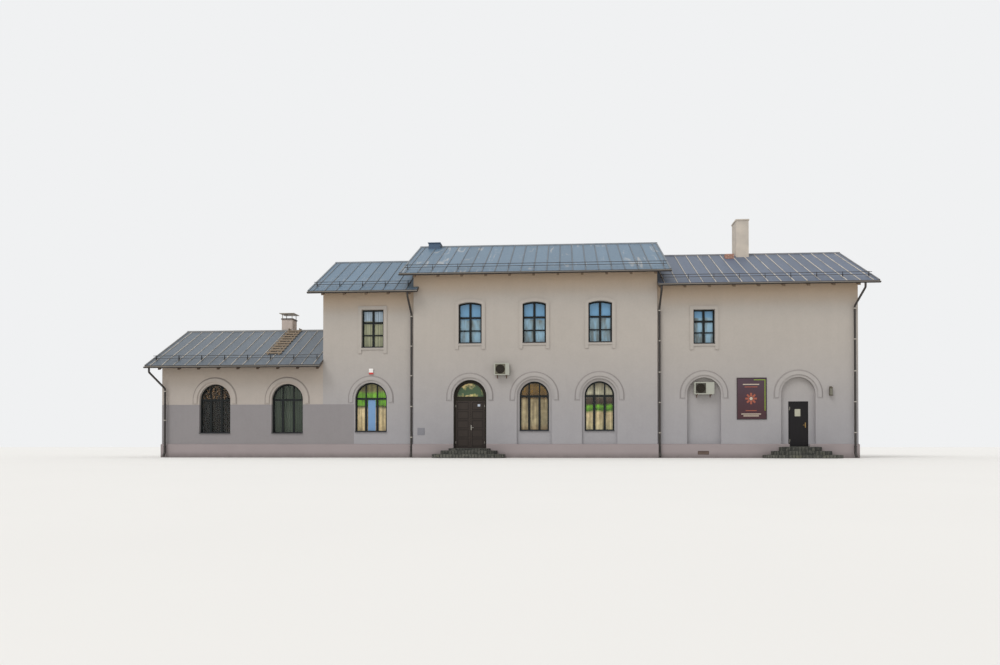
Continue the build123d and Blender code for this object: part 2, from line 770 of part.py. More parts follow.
def make_chimneys():
    """The wing's chimney with its metal cover, and two chimneys on the right house."""
    x = A.at(A_CHIMNEY_X)
    y = A.middle + A_CHIMNEY_SHIFT
    cap_top = A_CHIMNEY_TOP + CHIMNEY_CAP
    shaft = stack(A, x, y, A_CHIMNEY, A_CHIMNEY_TOP)
    PARTS["a_chimney"] = shaft + slab(x, y, A_CHIMNEY, CHIMNEY_CAP_REACH, A_CHIMNEY_TOP, cap_top)
    under = COVER_TOP - COVER_THICKNESS
    cover = slab(x, y, COVER_SIZE, 0, under, COVER_TOP)
    half = COVER_POST / 2
    for side_x in (-1, 1):
        for side_y in (-1, 1):
            px = x + side_x * (A_CHIMNEY[0] / 2 - COVER_POST)
            py = y + side_y * (A_CHIMNEY[1] / 2 - COVER_POST)
            cover = cover + box(px - half, px + half, py - half, py + half, cap_top, under)
    PARTS["a_chimney_cover"] = cover
    x = D.at(TALL_CHIMNEY_X)
    shoulder = TALL_CHIMNEY_TOP - CHIMNEY_CAP
    tall = stack(D, x, D.middle, TALL_CHIMNEY, shoulder)
    tall = tall + slab(x, D.middle, TALL_CHIMNEY, CHIMNEY_CAP_REACH, shoulder, TALL_CHIMNEY_TOP)
    y = D.middle + LOW_CHIMNEY_SHIFT
    low = stack(D, D.at(LOW_CHIMNEY_X), y, LOW_CHIMNEY, LOW_CHIMNEY_TOP)
    PARTS["d_chimneys"] = Compound(children=[tall, low])


def make_ridge_vent():
    """A boxed vent with a flat cover astride the central ridge."""
    x = C.at(RIDGE_VENT_X)
    body = stack(C, x, C.middle, RIDGE_VENT, RIDGE_VENT_TOP)
    lid_top = RIDGE_VENT_TOP + RIDGE_VENT_LID
    lid = slab(x, C.middle, RIDGE_VENT, RIDGE_VENT_LID_REACH, RIDGE_VENT_TOP, lid_top)
    PARTS["ridge_vent"] = body + lid


def board(y0, z0, y1, z1, depth):
    """The outline of a board whose underside runs between two points."""
    return [(y0, z0), (y1, z1), (y1, z1 + depth), (y0, z0 + depth)]


def make_roof_ladder():
    """A boarded roof ladder on the wing, its rails crossed with hooks over the ridge."""
    rail_width, rail_depth = LADDER_RAIL
    length, width, thickness = LADDER_RUNG
    y_low = A.front - EAVE_REACH + LADDER_BOTTOM
    y_rear = A.middle + LADDER_HOOK
    centre = A.at(LADDER_X)
    z_horn = A.ridge + LADDER_HORN * A.slope
    rail = board(y_low, A.top(y_low), A.middle + LADDER_HORN, z_horn, rail_depth)
    hook = board(A.middle - LADDER_HORN, z_horn, y_rear, A.top(y_rear), rail_depth)
    pieces = []
    for x in (centre - LADDER_WIDTH / 2, centre + LADDER_WIDTH / 2):
        pieces.append(along_x(rail, x - rail_width / 2, x + rail_width / 2))
        pieces.append(along_x(hook, x - rail_width / 2, x + rail_width / 2))
    pitch = (A.middle - y_low) / LADDER_RUNGS
    for index in range(LADDER_RUNGS):
        y0 = y_low + pitch * (index + 0.5) - width / 2
        y1 = y0 + width
        rung = board(y0, A.top(y0) + rail_depth, y1, A.top(y1) + rail_depth, thickness)
        pieces.append(along_x(rung, centre - length / 2, centre + length / 2))
    PARTS["roof_ladder"] = fuse(pieces)


def window_frame(opening):
    """A frame ring with its bars: arched windows have three lights, upper ones two."""
    plane = opening.plane.offset(-opening.setback)
    ring = opening.outline() - opening.outline(FRAME_FACE)
    half = opening.width / 2
    inside = opening.outline(FRAME_FACE / 2)
    bars = []
    if opening.arched:
        offset = half * CENTRE_LIGHT
        middle = opening.spring
        bars.append(bar(-half, half, middle - TRANSOM_FACE / 2, middle + TRANSOM_FACE / 2))
        for side in (-1, 1):
            x = side * offset
            bars.append(bar(x - STILE_FACE / 2, x + STILE_FACE / 2, opening.sill, middle))
            bars.append(bar(x - BAR_FACE / 2, x + BAR_FACE / 2, middle, opening.head))
    else:
        height = opening.spring - opening.sill
        middle = opening.spring - height * TOP_LIGHT
        low = opening.sill + height * (1 - TOP_LIGHT) / 2
        bars.append(bar(-half, half, middle - TRANSOM_FACE / 2, middle + TRANSOM_FACE / 2))
        bars.append(bar(-half, half, low - BAR_FACE / 2, low + BAR_FACE / 2))
        bars.append(bar(-STILE_FACE / 2, STILE_FACE / 2, opening.sill, opening.head))
    frame = sunk(plane, ring, 0, FRAME_DEPTH)
    return frame + sunk(plane, fuse(bars) & inside, 0, BAR_DEPTH)


def window_pane(opening):
    """The glass behind the bars, inside the frame ring."""
    return sunk(opening.plane, opening.outline(FRAME_FACE), opening.setback + BAR_DEPTH, PANE)


def window_sill(opening):
    """A sill board in the reveal, from the frame to a drip edge proud of the wall."""
    half = opening.width / 2
    start = -SILL_REACH if opening.niche is None else NICHE_DEPTH - SILL_REACH
    outline = bar(-half, half, opening.sill, opening.sill + SILL_THICKNESS)
    return sunk(opening.plane, outline, start, opening.setback - start)


def make_windows():
    """Frames, glass and sills, a node for each storey."""
    for storey, openings in (("ground", GROUND), ("upper", UPPER)):
        PARTS[f"{storey}_window_frames"] = Compound(children=[window_frame(item) for item in openings])
        PARTS[f"{storey}_window_glass"] = Compound(children=[window_pane(item) for item in openings])
    PARTS["window_sills"] = Compound(children=[window_sill(item) for item in GROUND + UPPER])


def hood(plane, half, spring):
    """A hood moulding round an arch, with a bevelled outer edge and short legs."""
    outer = half + HOOD_REACH
    inner = outer - HOOD_BAND
    foot = spring - HOOD_DROP
    slant = math.degrees(math.atan2(HOOD_BEVEL, HOOD_PROUD))
    body = extrude(plane * arch_outline(2 * outer, foot, spring), amount=HOOD_PROUD, taper=slant)
    return body - proud(plane, arch_outline(2 * inner, foot - THROUGH, spring), HOOD_PROUD)


def make_hoods():
    """Hood mouldings over every arch of the ground floor."""
    hoods = []
    for opening in GROUND:
        hoods.append(hood(opening.plane, (opening.niche or opening.width) / 2, opening.spring))
    hoods.append(hood(front_face(C, C_DOOR_X), DOOR_OPENING / 2, C_SPRING))
    for x in D_NICHE_X:
        hoods.append(hood(front_face(D, x), D_NICHE / 2, D_SPRING))
    PARTS["arch_hoods"] = Compound(children=hoods)


def surround(opening):
    """A raised plaster surround with ears below the sill."""
    outer = opening.width / 2 + SURROUND_BAND
    low = opening.sill - SURROUND_SILL
    rise = offset_rise(opening.width / 2, opening.rise, SURROUND_BAND)
    band = arch_outline(2 * outer, low, opening.head + SURROUND_BAND - rise, rise)
    ears = bar(-outer, EAR_WIDTH - outer, opening.sill - EAR_DROP, low)
    ears = ears + bar(outer - EAR_WIDTH, outer, opening.sill - EAR_DROP, low)
    return proud(opening.plane, (band + ears) - opening.outline(), SURROUND_PROUD)


def make_surrounds():
    """Plaster surrounds of the upper windows."""
    PARTS["window_surrounds"] = Compound(children=[surround(item) for item in UPPER])


def make_main_door():
    """An arched frame with a fanlight, and two panelled leaves that open to the street."""
    plane = front_face(C, C_DOOR_X).offset(-DOOR_REVEAL)
    half = DOOR_OPENING / 2
    low, high = DOOR_TRANSOM
    ring = arch_outline(DOOR_OPENING, MAIN_FLOOR, C_SPRING)
    light = arch_outline(DOOR_OPENING - 2 * DOOR_FRAME, high, C_SPRING)
    doorway = bar(-half + DOOR_FRAME, half - DOOR_FRAME, MAIN_FLOOR, low)
    frame = sunk(plane, (ring - light) - doorway, 0, DOOR_FRAME_DEPTH)
    PARTS["fanlight_glass"] = sunk(plane, light, DOOR_FRAME_DEPTH / 2, PANE)
    clear = half - DOOR_FRAME
    width = clear - 1.5 * LEAF_GAP
    bottom = MAIN_FLOOR + LEAF_LIFT
    height = low - LEAF_GAP - bottom
    PARTS["main_door_left_leaf"] = leaf(plane, -clear + LEAF_GAP, width, bottom, height, True)
    PARTS["main_door_right_leaf"] = leaf(plane, clear - LEAF_GAP - width, width, bottom, height, False)
    for hinge_x, hinge_left in ((-clear + LEAF_GAP, True), (clear - LEAF_GAP, False)):
        frame = frame + frame_knuckles(plane, hinge_x, bottom, height, hinge_left)
    PARTS["main_door_frame"] = frame
    handle_x = LEAF_GAP / 2 + LEAF_STILE / 2
    face = plane.offset(LEAF_PROUD)
    PARTS["main_door_handle"] = handle(face, handle_x, MAIN_FLOOR + HANDLE_HEIGHT, 1)


def leaf(plane, x0, width, bottom, height, hinge_left):
    """A panelled door leaf with knuckles on its outer face at the hinge edge."""
    face = plane.offset(LEAF_PROUD)
    board = sunk(face, bar(x0, x0 + width, bottom, bottom + height), 0, LEAF_THICKNESS)
    panel_width = width - 2 * LEAF_STILE
    panel_height = (height - (PANEL_ROWS + 1) * LEAF_RAIL) / PANEL_ROWS
    for row in range(PANEL_ROWS):
        z0 = bottom + LEAF_RAIL + row * (panel_height + LEAF_RAIL)
        x = x0 + LEAF_STILE
        hollow = bar(x, x + panel_width, z0, z0 + panel_height)
        edge = PANEL_BEVEL
        field = bar(x + edge, x + panel_width - edge, z0 + edge, z0 + panel_height - edge)
        board = board - sunk(face, hollow, 0, PANEL_DEPTH)
        board = board + sunk(face, field, PANEL_DEPTH - PANEL_FIELD, PANEL_FIELD)
    hinge_x = x0 if hinge_left else x0 + width
    return board + knuckles(plane, hinge_x, bottom, height, hinge_left)


def hinge_heights(bottom, height):
    """Where the two hinges of a leaf stand."""
    return (bottom + KNUCKLE_INSET, bottom + height - KNUCKLE_INSET)


def barrel(face, hinge_x, z0, z1):
    """A hinge barrel on the pivot line between two heights."""
    centre = face * Location((hinge_x, (z0 + z1) / 2, 0), (90, 0, 0))
    return centre * Cylinder(KNUCKLE_RADIUS, z1 - z0)


def knuckles(plane, hinge_x, bottom, height, hinge_left):
    """The leaf's hinge barrels, each with a wing on the leaf's face."""
    face = plane.offset(LEAF_PROUD + KNUCKLE_STANDOFF)
    pieces = []
    for z in hinge_heights(bottom, height):
        z0 = z - KNUCKLE_LENGTH / 2
        z1 = z + KNUCKLE_LENGTH / 2
        x0, x1 = sorted((hinge_x, hinge_x + (HINGE_WING if hinge_left else -HINGE_WING)))
        wing = sunk(face, bar(x0, x1, z0, z1), 0, KNUCKLE_STANDOFF)
        pieces.append(barrel(face, hinge_x, z0, z1) + wing)
    return fuse(pieces)


def frame_knuckles(plane, hinge_x, bottom, height, hinge_left):
    """The frame's hinge barrels, which carry the leaf's barrels from below."""
    face = plane.offset(LEAF_PROUD + KNUCKLE_STANDOFF)
    side = -1 if hinge_left else 1
    pieces = []
    for z in hinge_heights(bottom, height):
        z1 = z - KNUCKLE_LENGTH / 2 - HINGE_SEAT
        z0 = z1 - KNUCKLE_LENGTH / 2
        x0, x1 = sorted((hinge_x, hinge_x + side * HINGE_WING))
        wing = sunk(face, bar(x0, x1, z0, z1), 0, KNUCKLE_STANDOFF - HINGE_RELIEF)
        x0, x1 = sorted((hinge_x + side * (LEAF_GAP + HINGE_RELIEF), hinge_x + side * HINGE_WING))
        foot = sunk(face, bar(x0, x1, z0, z1), 0, LEAF_PROUD + KNUCKLE_STANDOFF)
        pieces.append(barrel(face, hinge_x, z0, z1) + wing + foot)
    return fuse(pieces)


def handle(face, x, z, side):
    """A lever handle on its plate; side says which way the lever points."""
    half = PLATE_WIDTH / 2
    plate_outline = bar(x - half, x + half, z - PLATE_HEIGHT / 2, z + PLATE_HEIGHT / 2)
    plate = proud(face, plate_outline, PLATE_THICKNESS)
    spindle = proud(face, Location((x, z)) * Circle(HANDLE_RADIUS), HANDLE_REACH)
    lever_plane = face.offset(HANDLE_REACH - HANDLE_RADIUS)
    x0, x1 = sorted((x, x + side * HANDLE_LENGTH))
    lever = extrude(lever_plane * bar(x0, x1, z - HANDLE_RADIUS, z + HANDLE_RADIUS), amount=HANDLE_RADIUS)
    return plate + spindle + lever


def make_side_door():
    """A steel door at the back of the right-hand niche, hinged on its left."""
    plane = front_face(D, SIDE_DOOR_X).offset(-D_NICHE_DEPTH)
    width, top = SIDE_OPENING
    half = width / 2
    outline = bar(-half, half, D_FLOOR, top)
    doorway = bar(-half + SIDE_FRAME, half - SIDE_FRAME, D_FLOOR, top - SIDE_FRAME)
    frame = sunk(plane, outline - doorway, LEAF_PROUD, DOOR_FRAME_DEPTH)
    bottom = D_FLOOR + LEAF_LIFT
    x0 = -half + SIDE_FRAME + LEAF_GAP
    leaf_width = width - 2 * SIDE_FRAME - 2 * LEAF_GAP
    height = top - SIDE_FRAME - LEAF_GAP - bottom
    board = sunk(plane, bar(x0, x0 + leaf_width, bottom, bottom + height), 0, SIDE_LEAF_THICKNESS)
    hinge_plane = plane.offset(-LEAF_PROUD)
    PARTS["side_door_leaf"] = board + knuckles(hinge_plane, x0, bottom, height, True)
    PARTS["side_door_frame"] = frame + frame_knuckles(hinge_plane, x0, bottom, height, True)
    handle_x = x0 + leaf_width - LEAF_STILE
    PARTS["side_door_handle"] = handle(plane, handle_x, D_FLOOR + HANDLE_HEIGHT, -1)


def flight(block, place, halves, treads, doorway, level):
    """Masonry steps on a half-octagon plan, and the threshold in the doorway's foot."""
    x = block.at(place)
    slabs = [box(x - doorway / 2, x + doorway / 2, block.front - PLINTH_REACH, block.front + WALL, 0, level)]
    floor = 0.0
    for half, depth, top in zip(halves, STEP_DEPTHS, treads):
        y_wall = block.front - PLINTH_REACH
        y_front = block.front - depth
        y_corner = y_front + STEP_CORNER
        x_corner = half - STEP_CORNER
        plan = Polyline((x - half, y_wall), (x - half, y_corner), (x - x_corner, y_front),
                        (x + x_corner, y_front), (x + half, y_corner), (x + half, y_wall), close=True)
        slabs.append(extrude(Plane.XY.offset(floor) * make_face(plan), amount=top - floor))
        floor = top
    return fuse(slabs)


def make_steps():
    """The flights at both doors."""
    PARTS["main_steps"] = flight(C, C_DOOR_X, MAIN_STEP_HALF, MAIN_TREADS, DOOR_OPENING, MAIN_FLOOR)
    width = SIDE_OPENING[0]
    PARTS["side_steps"] = flight(D, SIDE_DOOR_X, SIDE_STEP_HALF, SIDE_TREADS, width, D_FLOOR)


def on_block(block, rect):
    """A rectangle on a block's front, with its places turned into x."""
    left, right, low, high = rect
    return block.at(left), block.at(right), low, high


def ac_unit(block, rect, sink):
    """A wall unit with its fan grille recess, on two angle brackets."""
    x0, x1, z0, z1 = on_block(block, rect)
    y_back = block.front + sink - AC_GAP
    y_face = y_back - AC_DEPTH
    body = box(x0, x1, y_face, y_back, z0, z1)
    body = fillet(body.edges().filter_by(Axis.Y), AC_EDGE)
    seam, groove = AC_SEAM
    body = body - box(x0 + seam, x0 + seam + groove, y_face, y_face + groove, z0, z1)
    side, radius, recess = AC_FAN
    centre = (x0 + side, y_face, (z0 + z1) / 2)
    grille = Plane(origin=centre, x_dir=(1, 0, 0), z_dir=(0, -1, 0))
    ring = Circle(radius) - Circle(AC_HUB)
    body = body - extrude(grille * ring, amount=-recess)
    brackets = []
    y_wall = block.front + sink
    half = AC_BRACKET / 2
    for x in (x0 + AC_BRACKET_INSET, x1 - AC_BRACKET_INSET):
        arm = box(x - half, x + half, y_wall - AC_BRACKET_REACH, y_wall, z0 - half, z0)
        upright = box(x - half, x + half, y_wall - half, y_wall, z0, z0 + AC_BRACKET_UPRIGHT)
        brackets.append(arm + upright)
    return body, brackets


def tray(x0, x1, y0, y1, z0, z1, rim, sunk_by):
    """A board on the street side with a raised rim round a sunk field."""
    field = box(x0 + rim, x1 - rim, y0, y0 + sunk_by, z0 + rim, z1 - rim)
    return box(x0, x1, y0, y1, z0, z1) - field


def lamp(block, rect):
    """A lantern with a tapered hood, on an arm from a back plate."""
    x0, x1, z0, z1 = on_block(block, rect)
    face = block.front
    middle = (x0 + x1) / 2
    radius = (x1 - x0) / 2
    y = face - LAMP_DEPTH + radius
    plate_half = LAMP_PLATE_WIDTH / 2
    plate = box(middle - plate_half, middle + plate_half, face - LAMP_PLATE, face, z0, z1)
    arm_half = LAMP_ARM / 2
    z_arm = z0 + LAMP_BASE / 2
    arm = box(middle - arm_half, middle + arm_half, y, face, z_arm - arm_half, z_arm + arm_half)
    foot = Location((middle, y, z_arm)) * Cylinder(radius, LAMP_BASE)
    glass_height = z1 - z0 - LAMP_BASE - LAMP_HEAD
    z_glass = z0 + LAMP_BASE + glass_height / 2
    glass = Location((middle, y, z_glass)) * Cylinder(LAMP_GLASS_RADIUS, glass_height)
    hood_top = LAMP_ARM / 2
    head = Location((middle, y, z1 - LAMP_HEAD / 2)) * Cone(radius, hood_top, LAMP_HEAD)
    return fuse([plate, arm, foot, glass, head])


def make_fittings():
    """Units, sign board, lamp, alarm box and small covers on the street front."""
    unit_c, brackets_c = ac_unit(C, AC_C, 0.0)
    unit_d, brackets_d = ac_unit(D, AC_D, D_NICHE_DEPTH)
    PARTS["ac_units"] = Compound(children=[unit_c, unit_d])
    PARTS["ac_brackets"] = Compound(children=brackets_c + brackets_d)
    x0, x1, z0, z1 = on_block(D, SIGN)
    face = D.front - SIGN_THICKNESS
    PARTS["sign_board"] = tray(x0, x1, face, D.front, z0, z1, SIGN_FRAME, SIGN_SUNK)
    PARTS["wall_lamp"] = lamp(D, LAMP)
    x0, x1, z0, z1 = on_block(B, ALARM)
    alarm = box(x0, x1, B.front - ALARM_DEPTH, B.front, z0, z1)
    PARTS["alarm_box"] = chamfer(alarm.edges().group_by(Axis.Y)[0], ALARM_BEVEL)
    x0, x1, z0, z1 = on_block(D, VENT)
    face = D.front - PLINTH_REACH
    vent = tray(x0, x1, face - PLATE_PROUD, face, z0, z1, VENT_RIM, VENT_SUNK)
    x0, x1, z0, z1 = on_block(C, HATCH)
    hatch = box(x0, x1, C.front - PLATE_PROUD, C.front, z0, z1)
    PARTS["vent_and_hatch_covers"] = Compound(children=[vent, hatch])


def main():
    make_walls()
    make_plinth()
    make_floors()
    make_roofs()
    make_eave_timbers()
    make_gutters()
    make_downpipes()
    make_snow_guards()
    make_chimneys()
    make_ridge_vent()
    make_roof_ladder()
    make_windows()
    make_hoods()
    make_surrounds()
    make_main_door()
    make_side_door()
    make_steps()
    make_fittings()
    os.makedirs("parts", exist_ok=True)
    for name, shape in PARTS.items():
        export_step(shape, f"parts/{name}.step")
    print(len(PARTS), "nodes")


if __name__ == "__main__":
    main()
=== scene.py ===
"""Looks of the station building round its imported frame.

Metres. X runs along the front from left to right, Y from the front to the rear, Z is up.
Places are read from the frame's nodes, or named at the head of their section.
Numbers in the finishes are shares of a colour and waves to a metre.
"""
import math
import random

import bmesh
import bpy
from bpy.props import FloatProperty, FloatVectorProperty, IntProperty, PointerProperty
from mathutils import Matrix, Vector


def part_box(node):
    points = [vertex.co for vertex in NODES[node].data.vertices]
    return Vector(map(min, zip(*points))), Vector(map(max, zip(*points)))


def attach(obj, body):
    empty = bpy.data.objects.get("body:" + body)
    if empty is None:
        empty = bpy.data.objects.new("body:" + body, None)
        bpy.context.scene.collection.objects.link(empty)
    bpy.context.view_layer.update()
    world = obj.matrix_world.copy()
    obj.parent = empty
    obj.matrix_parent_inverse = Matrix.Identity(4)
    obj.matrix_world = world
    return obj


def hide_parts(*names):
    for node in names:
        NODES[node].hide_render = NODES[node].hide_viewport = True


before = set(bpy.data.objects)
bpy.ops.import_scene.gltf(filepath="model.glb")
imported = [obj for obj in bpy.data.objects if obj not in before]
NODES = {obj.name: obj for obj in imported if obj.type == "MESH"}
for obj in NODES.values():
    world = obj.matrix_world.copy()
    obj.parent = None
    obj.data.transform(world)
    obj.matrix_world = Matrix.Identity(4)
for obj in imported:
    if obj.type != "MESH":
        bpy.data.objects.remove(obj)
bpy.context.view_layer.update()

bl_info = {
    "name": "Station building finishes",
    "version": (1, 0, 0),
    "blender": (4, 5, 0),
    "location": "3D View > Sidebar > Station",
    "description": "Finishes and small pieces of a plastered railway station building",
    "category": "Object",
}

BUILDING = "building"
TINY = 0.001
LOW_GLOSS = 0.22
SMOOTH_ANGLE = math.radians(40)
SHEET_EDGE = 0.001
EASED_EDGE = 0.002
WIRE_SIDES = 6
BAR_SIDES = 8
TUBE_SIDES = 10
DISC_SIDES = 32
LEFT, RIGHT = -1, 1
SEED = 7


def tint(red, green, blue):
    """A colour as written on a paint card, turned into the renderer's linear values."""
    levels = []
    for part in (red, green, blue):
        level = part / 255
        levels.append(level / 12.92 if level <= 0.04045 else ((level + 0.055) / 1.055) ** 2.4)
    return (*levels, 1.0)


def paint_box(name, description, red, green, blue):
    """A colour that a user can change in the panel."""
    return FloatVectorProperty(name=name, description=description, subtype="COLOR", size=4,
                               min=0.0, max=1.0, default=tint(red, green, blue))


def length_box(name, description, default):
    """A length that a user can change in the panel."""
    return FloatProperty(name=name, description=description, default=default, min=0.0, unit="LENGTH")


# Looks that a user can change


class StationWallLook(bpy.types.PropertyGroup):
    """Paint of the walls, the trim and the plinth."""

    high: paint_box("Upper paint", "Wall paint near the eaves", 176, 169, 161)
    # The cooler lower paint is partly painted sky light on the shaded wall.
    low: paint_box("Lower paint", "Wall paint near the ground", 157, 155, 158)
    wing: paint_box("Wing paint", "Warmer wall paint of the low wing", 178, 168, 158)
    field: paint_box("Lower field", "Darker field along the low wing", 140, 136, 137)
    field_top: length_box("Field top", "Height of the top of the darker field", 2.63)
    field_end: FloatProperty(name="Field end", default=-7.19, unit="LENGTH",
                             description="Where the darker field stops along the front")
    plinth: paint_box("Plinth paint", "Pinker paint of the plinth", 156, 146, 146)
    # Painted light: a warm glow on the wall just under the eaves.
    painted_eave_glow: paint_box("Under the eaves", "Warm tone of the wall just under the eaves", 192, 168, 140)
    shadow: paint_box("Edge tone", "Dust and shade along raised edges", 96, 90, 88)


class StationRoofLook(bpy.types.PropertyGroup):
    """Sheets and seams of the roofs."""

    wing: paint_box("Wing sheet", "Sheet metal of the low wing's roof", 88, 98, 108)
    middle: paint_box("Middle sheet", "Sheet metal of the two-storey roofs", 92, 116, 136)
    right: paint_box("Right sheet", "Sheet metal of the right roof", 82, 94, 114)
    seam: paint_box("Seam", "Sunlit top of a seam", 214, 206, 194)
    board: paint_box("Eave boards", "Stained boards under the eaves", 104, 84, 66)
    seam_height: length_box("Seam height", "How far a seam stands up", 0.032)
    seam_width: length_box("Seam width", "Thickness of a folded seam", 0.032)


class StationJoineryLook(bpy.types.PropertyGroup):
    """Windows, doors and curtains."""

    window: paint_box("Window frames", "Stain of the window frames", 26, 29, 30)
    glass: paint_box("Glass", "Tone of the panes", 44, 50, 50)
    # Painted reflection of the sky in the highest panes.
    sky: paint_box("Upper glass", "Tone of the highest panes", 122, 172, 210)
    door: paint_box("Main door", "Stain of the main door", 54, 47, 43)
    steel: paint_box("Side door", "Paint of the side door", 22, 20, 22)
    cream: paint_box("Cream cloth", "Heavy side curtains", 232, 216, 176)
    net: paint_box("Net", "Pale net curtains", 232, 234, 214)
    green: paint_box("Green cloth", "Long curtains of the wing", 158, 174, 150)
    brown: paint_box("Brown net", "Dark net of the first window", 44, 38, 32)
    fold: length_box("Fold", "Distance from one curtain fold to the next", 0.11)


class StationStoneLook(bpy.types.PropertyGroup):
    """Cobbles and mortar of the steps."""

    stone: paint_box("Cobbles", "Grey-brown granite", 108, 107, 98)
    dark: paint_box("Dark cobbles", "Darkest of the stones", 62, 63, 60)
    mortar: paint_box("Mortar", "Sandy mortar between the stones", 54, 53, 49)
    pitch: length_box("Cobble length", "Length of one cobble and its joint", 0.150)
    row: length_box("Row depth", "Depth of one row of cobbles", 0.112)
    joint: length_box("Joint", "Gap between two cobbles", 0.016)


class StationFittingLook(bpy.types.PropertyGroup):
    """Gutters, units, sign and small fittings."""

    gutter: paint_box("Gutters", "Dark coated gutters and pipes", 50, 45, 42)
    clamp: paint_box("Clamps", "Pale zinc clamps", 176, 170, 160)
    panel: paint_box("Fan side", "Older, darker plastic round each fan", 92, 88, 72)
    unit: paint_box("Cooling units", "Cream-white casings", 172, 173, 162)
    grille: paint_box("Fan", "Dark plastic of the fans", 44, 38, 30)
    sign: paint_box("Sign", "Maroon face of the sign", 64, 28, 36)
    sign_top: paint_box("Sign top", "Cooler maroon at the top of the sign", 70, 48, 60)
    lime: paint_box("Lime strip", "Lime strip along the sign", 134, 158, 52)
    red: paint_box("Lens", "Red lens of the alarm box", 206, 60, 54)
    fan_rings: IntProperty(name="Fan rings", description="Wire rings in each fan guard", default=6, min=2)


class StationStageLook(bpy.types.PropertyGroup):
    """Floor, light and camera."""

    floor: paint_box("Floor", "Pale plain floor", 232, 231, 228)
    sky: paint_box("Background", "Pale plain background", 240, 241, 242)
    daylight: FloatProperty(name="Daylight", description="Strength of the even light", default=0.86, min=0.0)
    sun: FloatProperty(name="Key light", description="Strength of the soft key light", default=0.95, min=0.0)


LOOKS = {
    "station_walls": StationWallLook,
    "station_roofs": StationRoofLook,
    "station_joinery": StationJoineryLook,
    "station_stone": StationStoneLook,
    "station_fittings": StationFittingLook,
    "station_stage": StationStageLook,
}


# Finishes


class Value:
    """A socket that takes part in plain sums."""

    def __init__(self, nodes, socket):
        self.nodes = nodes
        self.socket = socket

    def _sum(self, operation, first, second):
        return self.nodes.node("ShaderNodeMath", {"operation": operation}, {0: first, 1: second})

    def __add__(self, other):
        return self._sum("ADD", self, other)

    def __radd__(self, other):
        return self._sum("ADD", other, self)

    def __sub__(self, other):
        return self._sum("SUBTRACT", self, other)

    def __rsub__(self, other):
        return self._sum("SUBTRACT", other, self)

    def __mul__(self, other):
        return self._sum("MULTIPLY", self, other)

    def __rmul__(self, other):
        return self._sum("MULTIPLY", other, self)

    def __truediv__(self, other):
        return self._sum("DIVIDE", self, other)

    def __rtruediv__(self, other):
        return self._sum("DIVIDE", other, self)


class Nodes:
    """A tree of shader nodes, built by plain calls."""

    def __init__(self, tree):
        self.tree = tree
        self.tree.nodes.clear()

    def node(self, kind, settings=None, inputs=None, output=0):
        """One shader node: its settings first, then the values or links of its sockets."""
        made = self.tree.nodes.new(kind)
        for name, value in (settings or {}).items():
            if name == "stops":
                self._set_stops(made.color_ramp, value)
            else:
                setattr(made, name, value)
        for key, value in (inputs or {}).items():
            if isinstance(value, Value):
                self.tree.links.new(value.socket, made.inputs[key])
            else:
                made.inputs[key].default_value = value
        return Value(self, made.outputs[output])

    @staticmethod
    def _set_stops(ramp, stops):
        while len(ramp.elements) < len(stops):
            ramp.elements.new(1.0)
        for element, (position, colour) in zip(ramp.elements, stops):
            element.position = position
            element.color = colour

    def most(self, first, second):
        """The larger of two numbers."""
        return self.node("ShaderNodeMath", {"operation": "MAXIMUM"}, {0: first, 1: second})

    def end(self, kind, shader):
        """The output node at the end of the tree."""
        output = self.tree.nodes.new(kind)
        self.tree.links.new(shader.socket, output.inputs["Surface"])


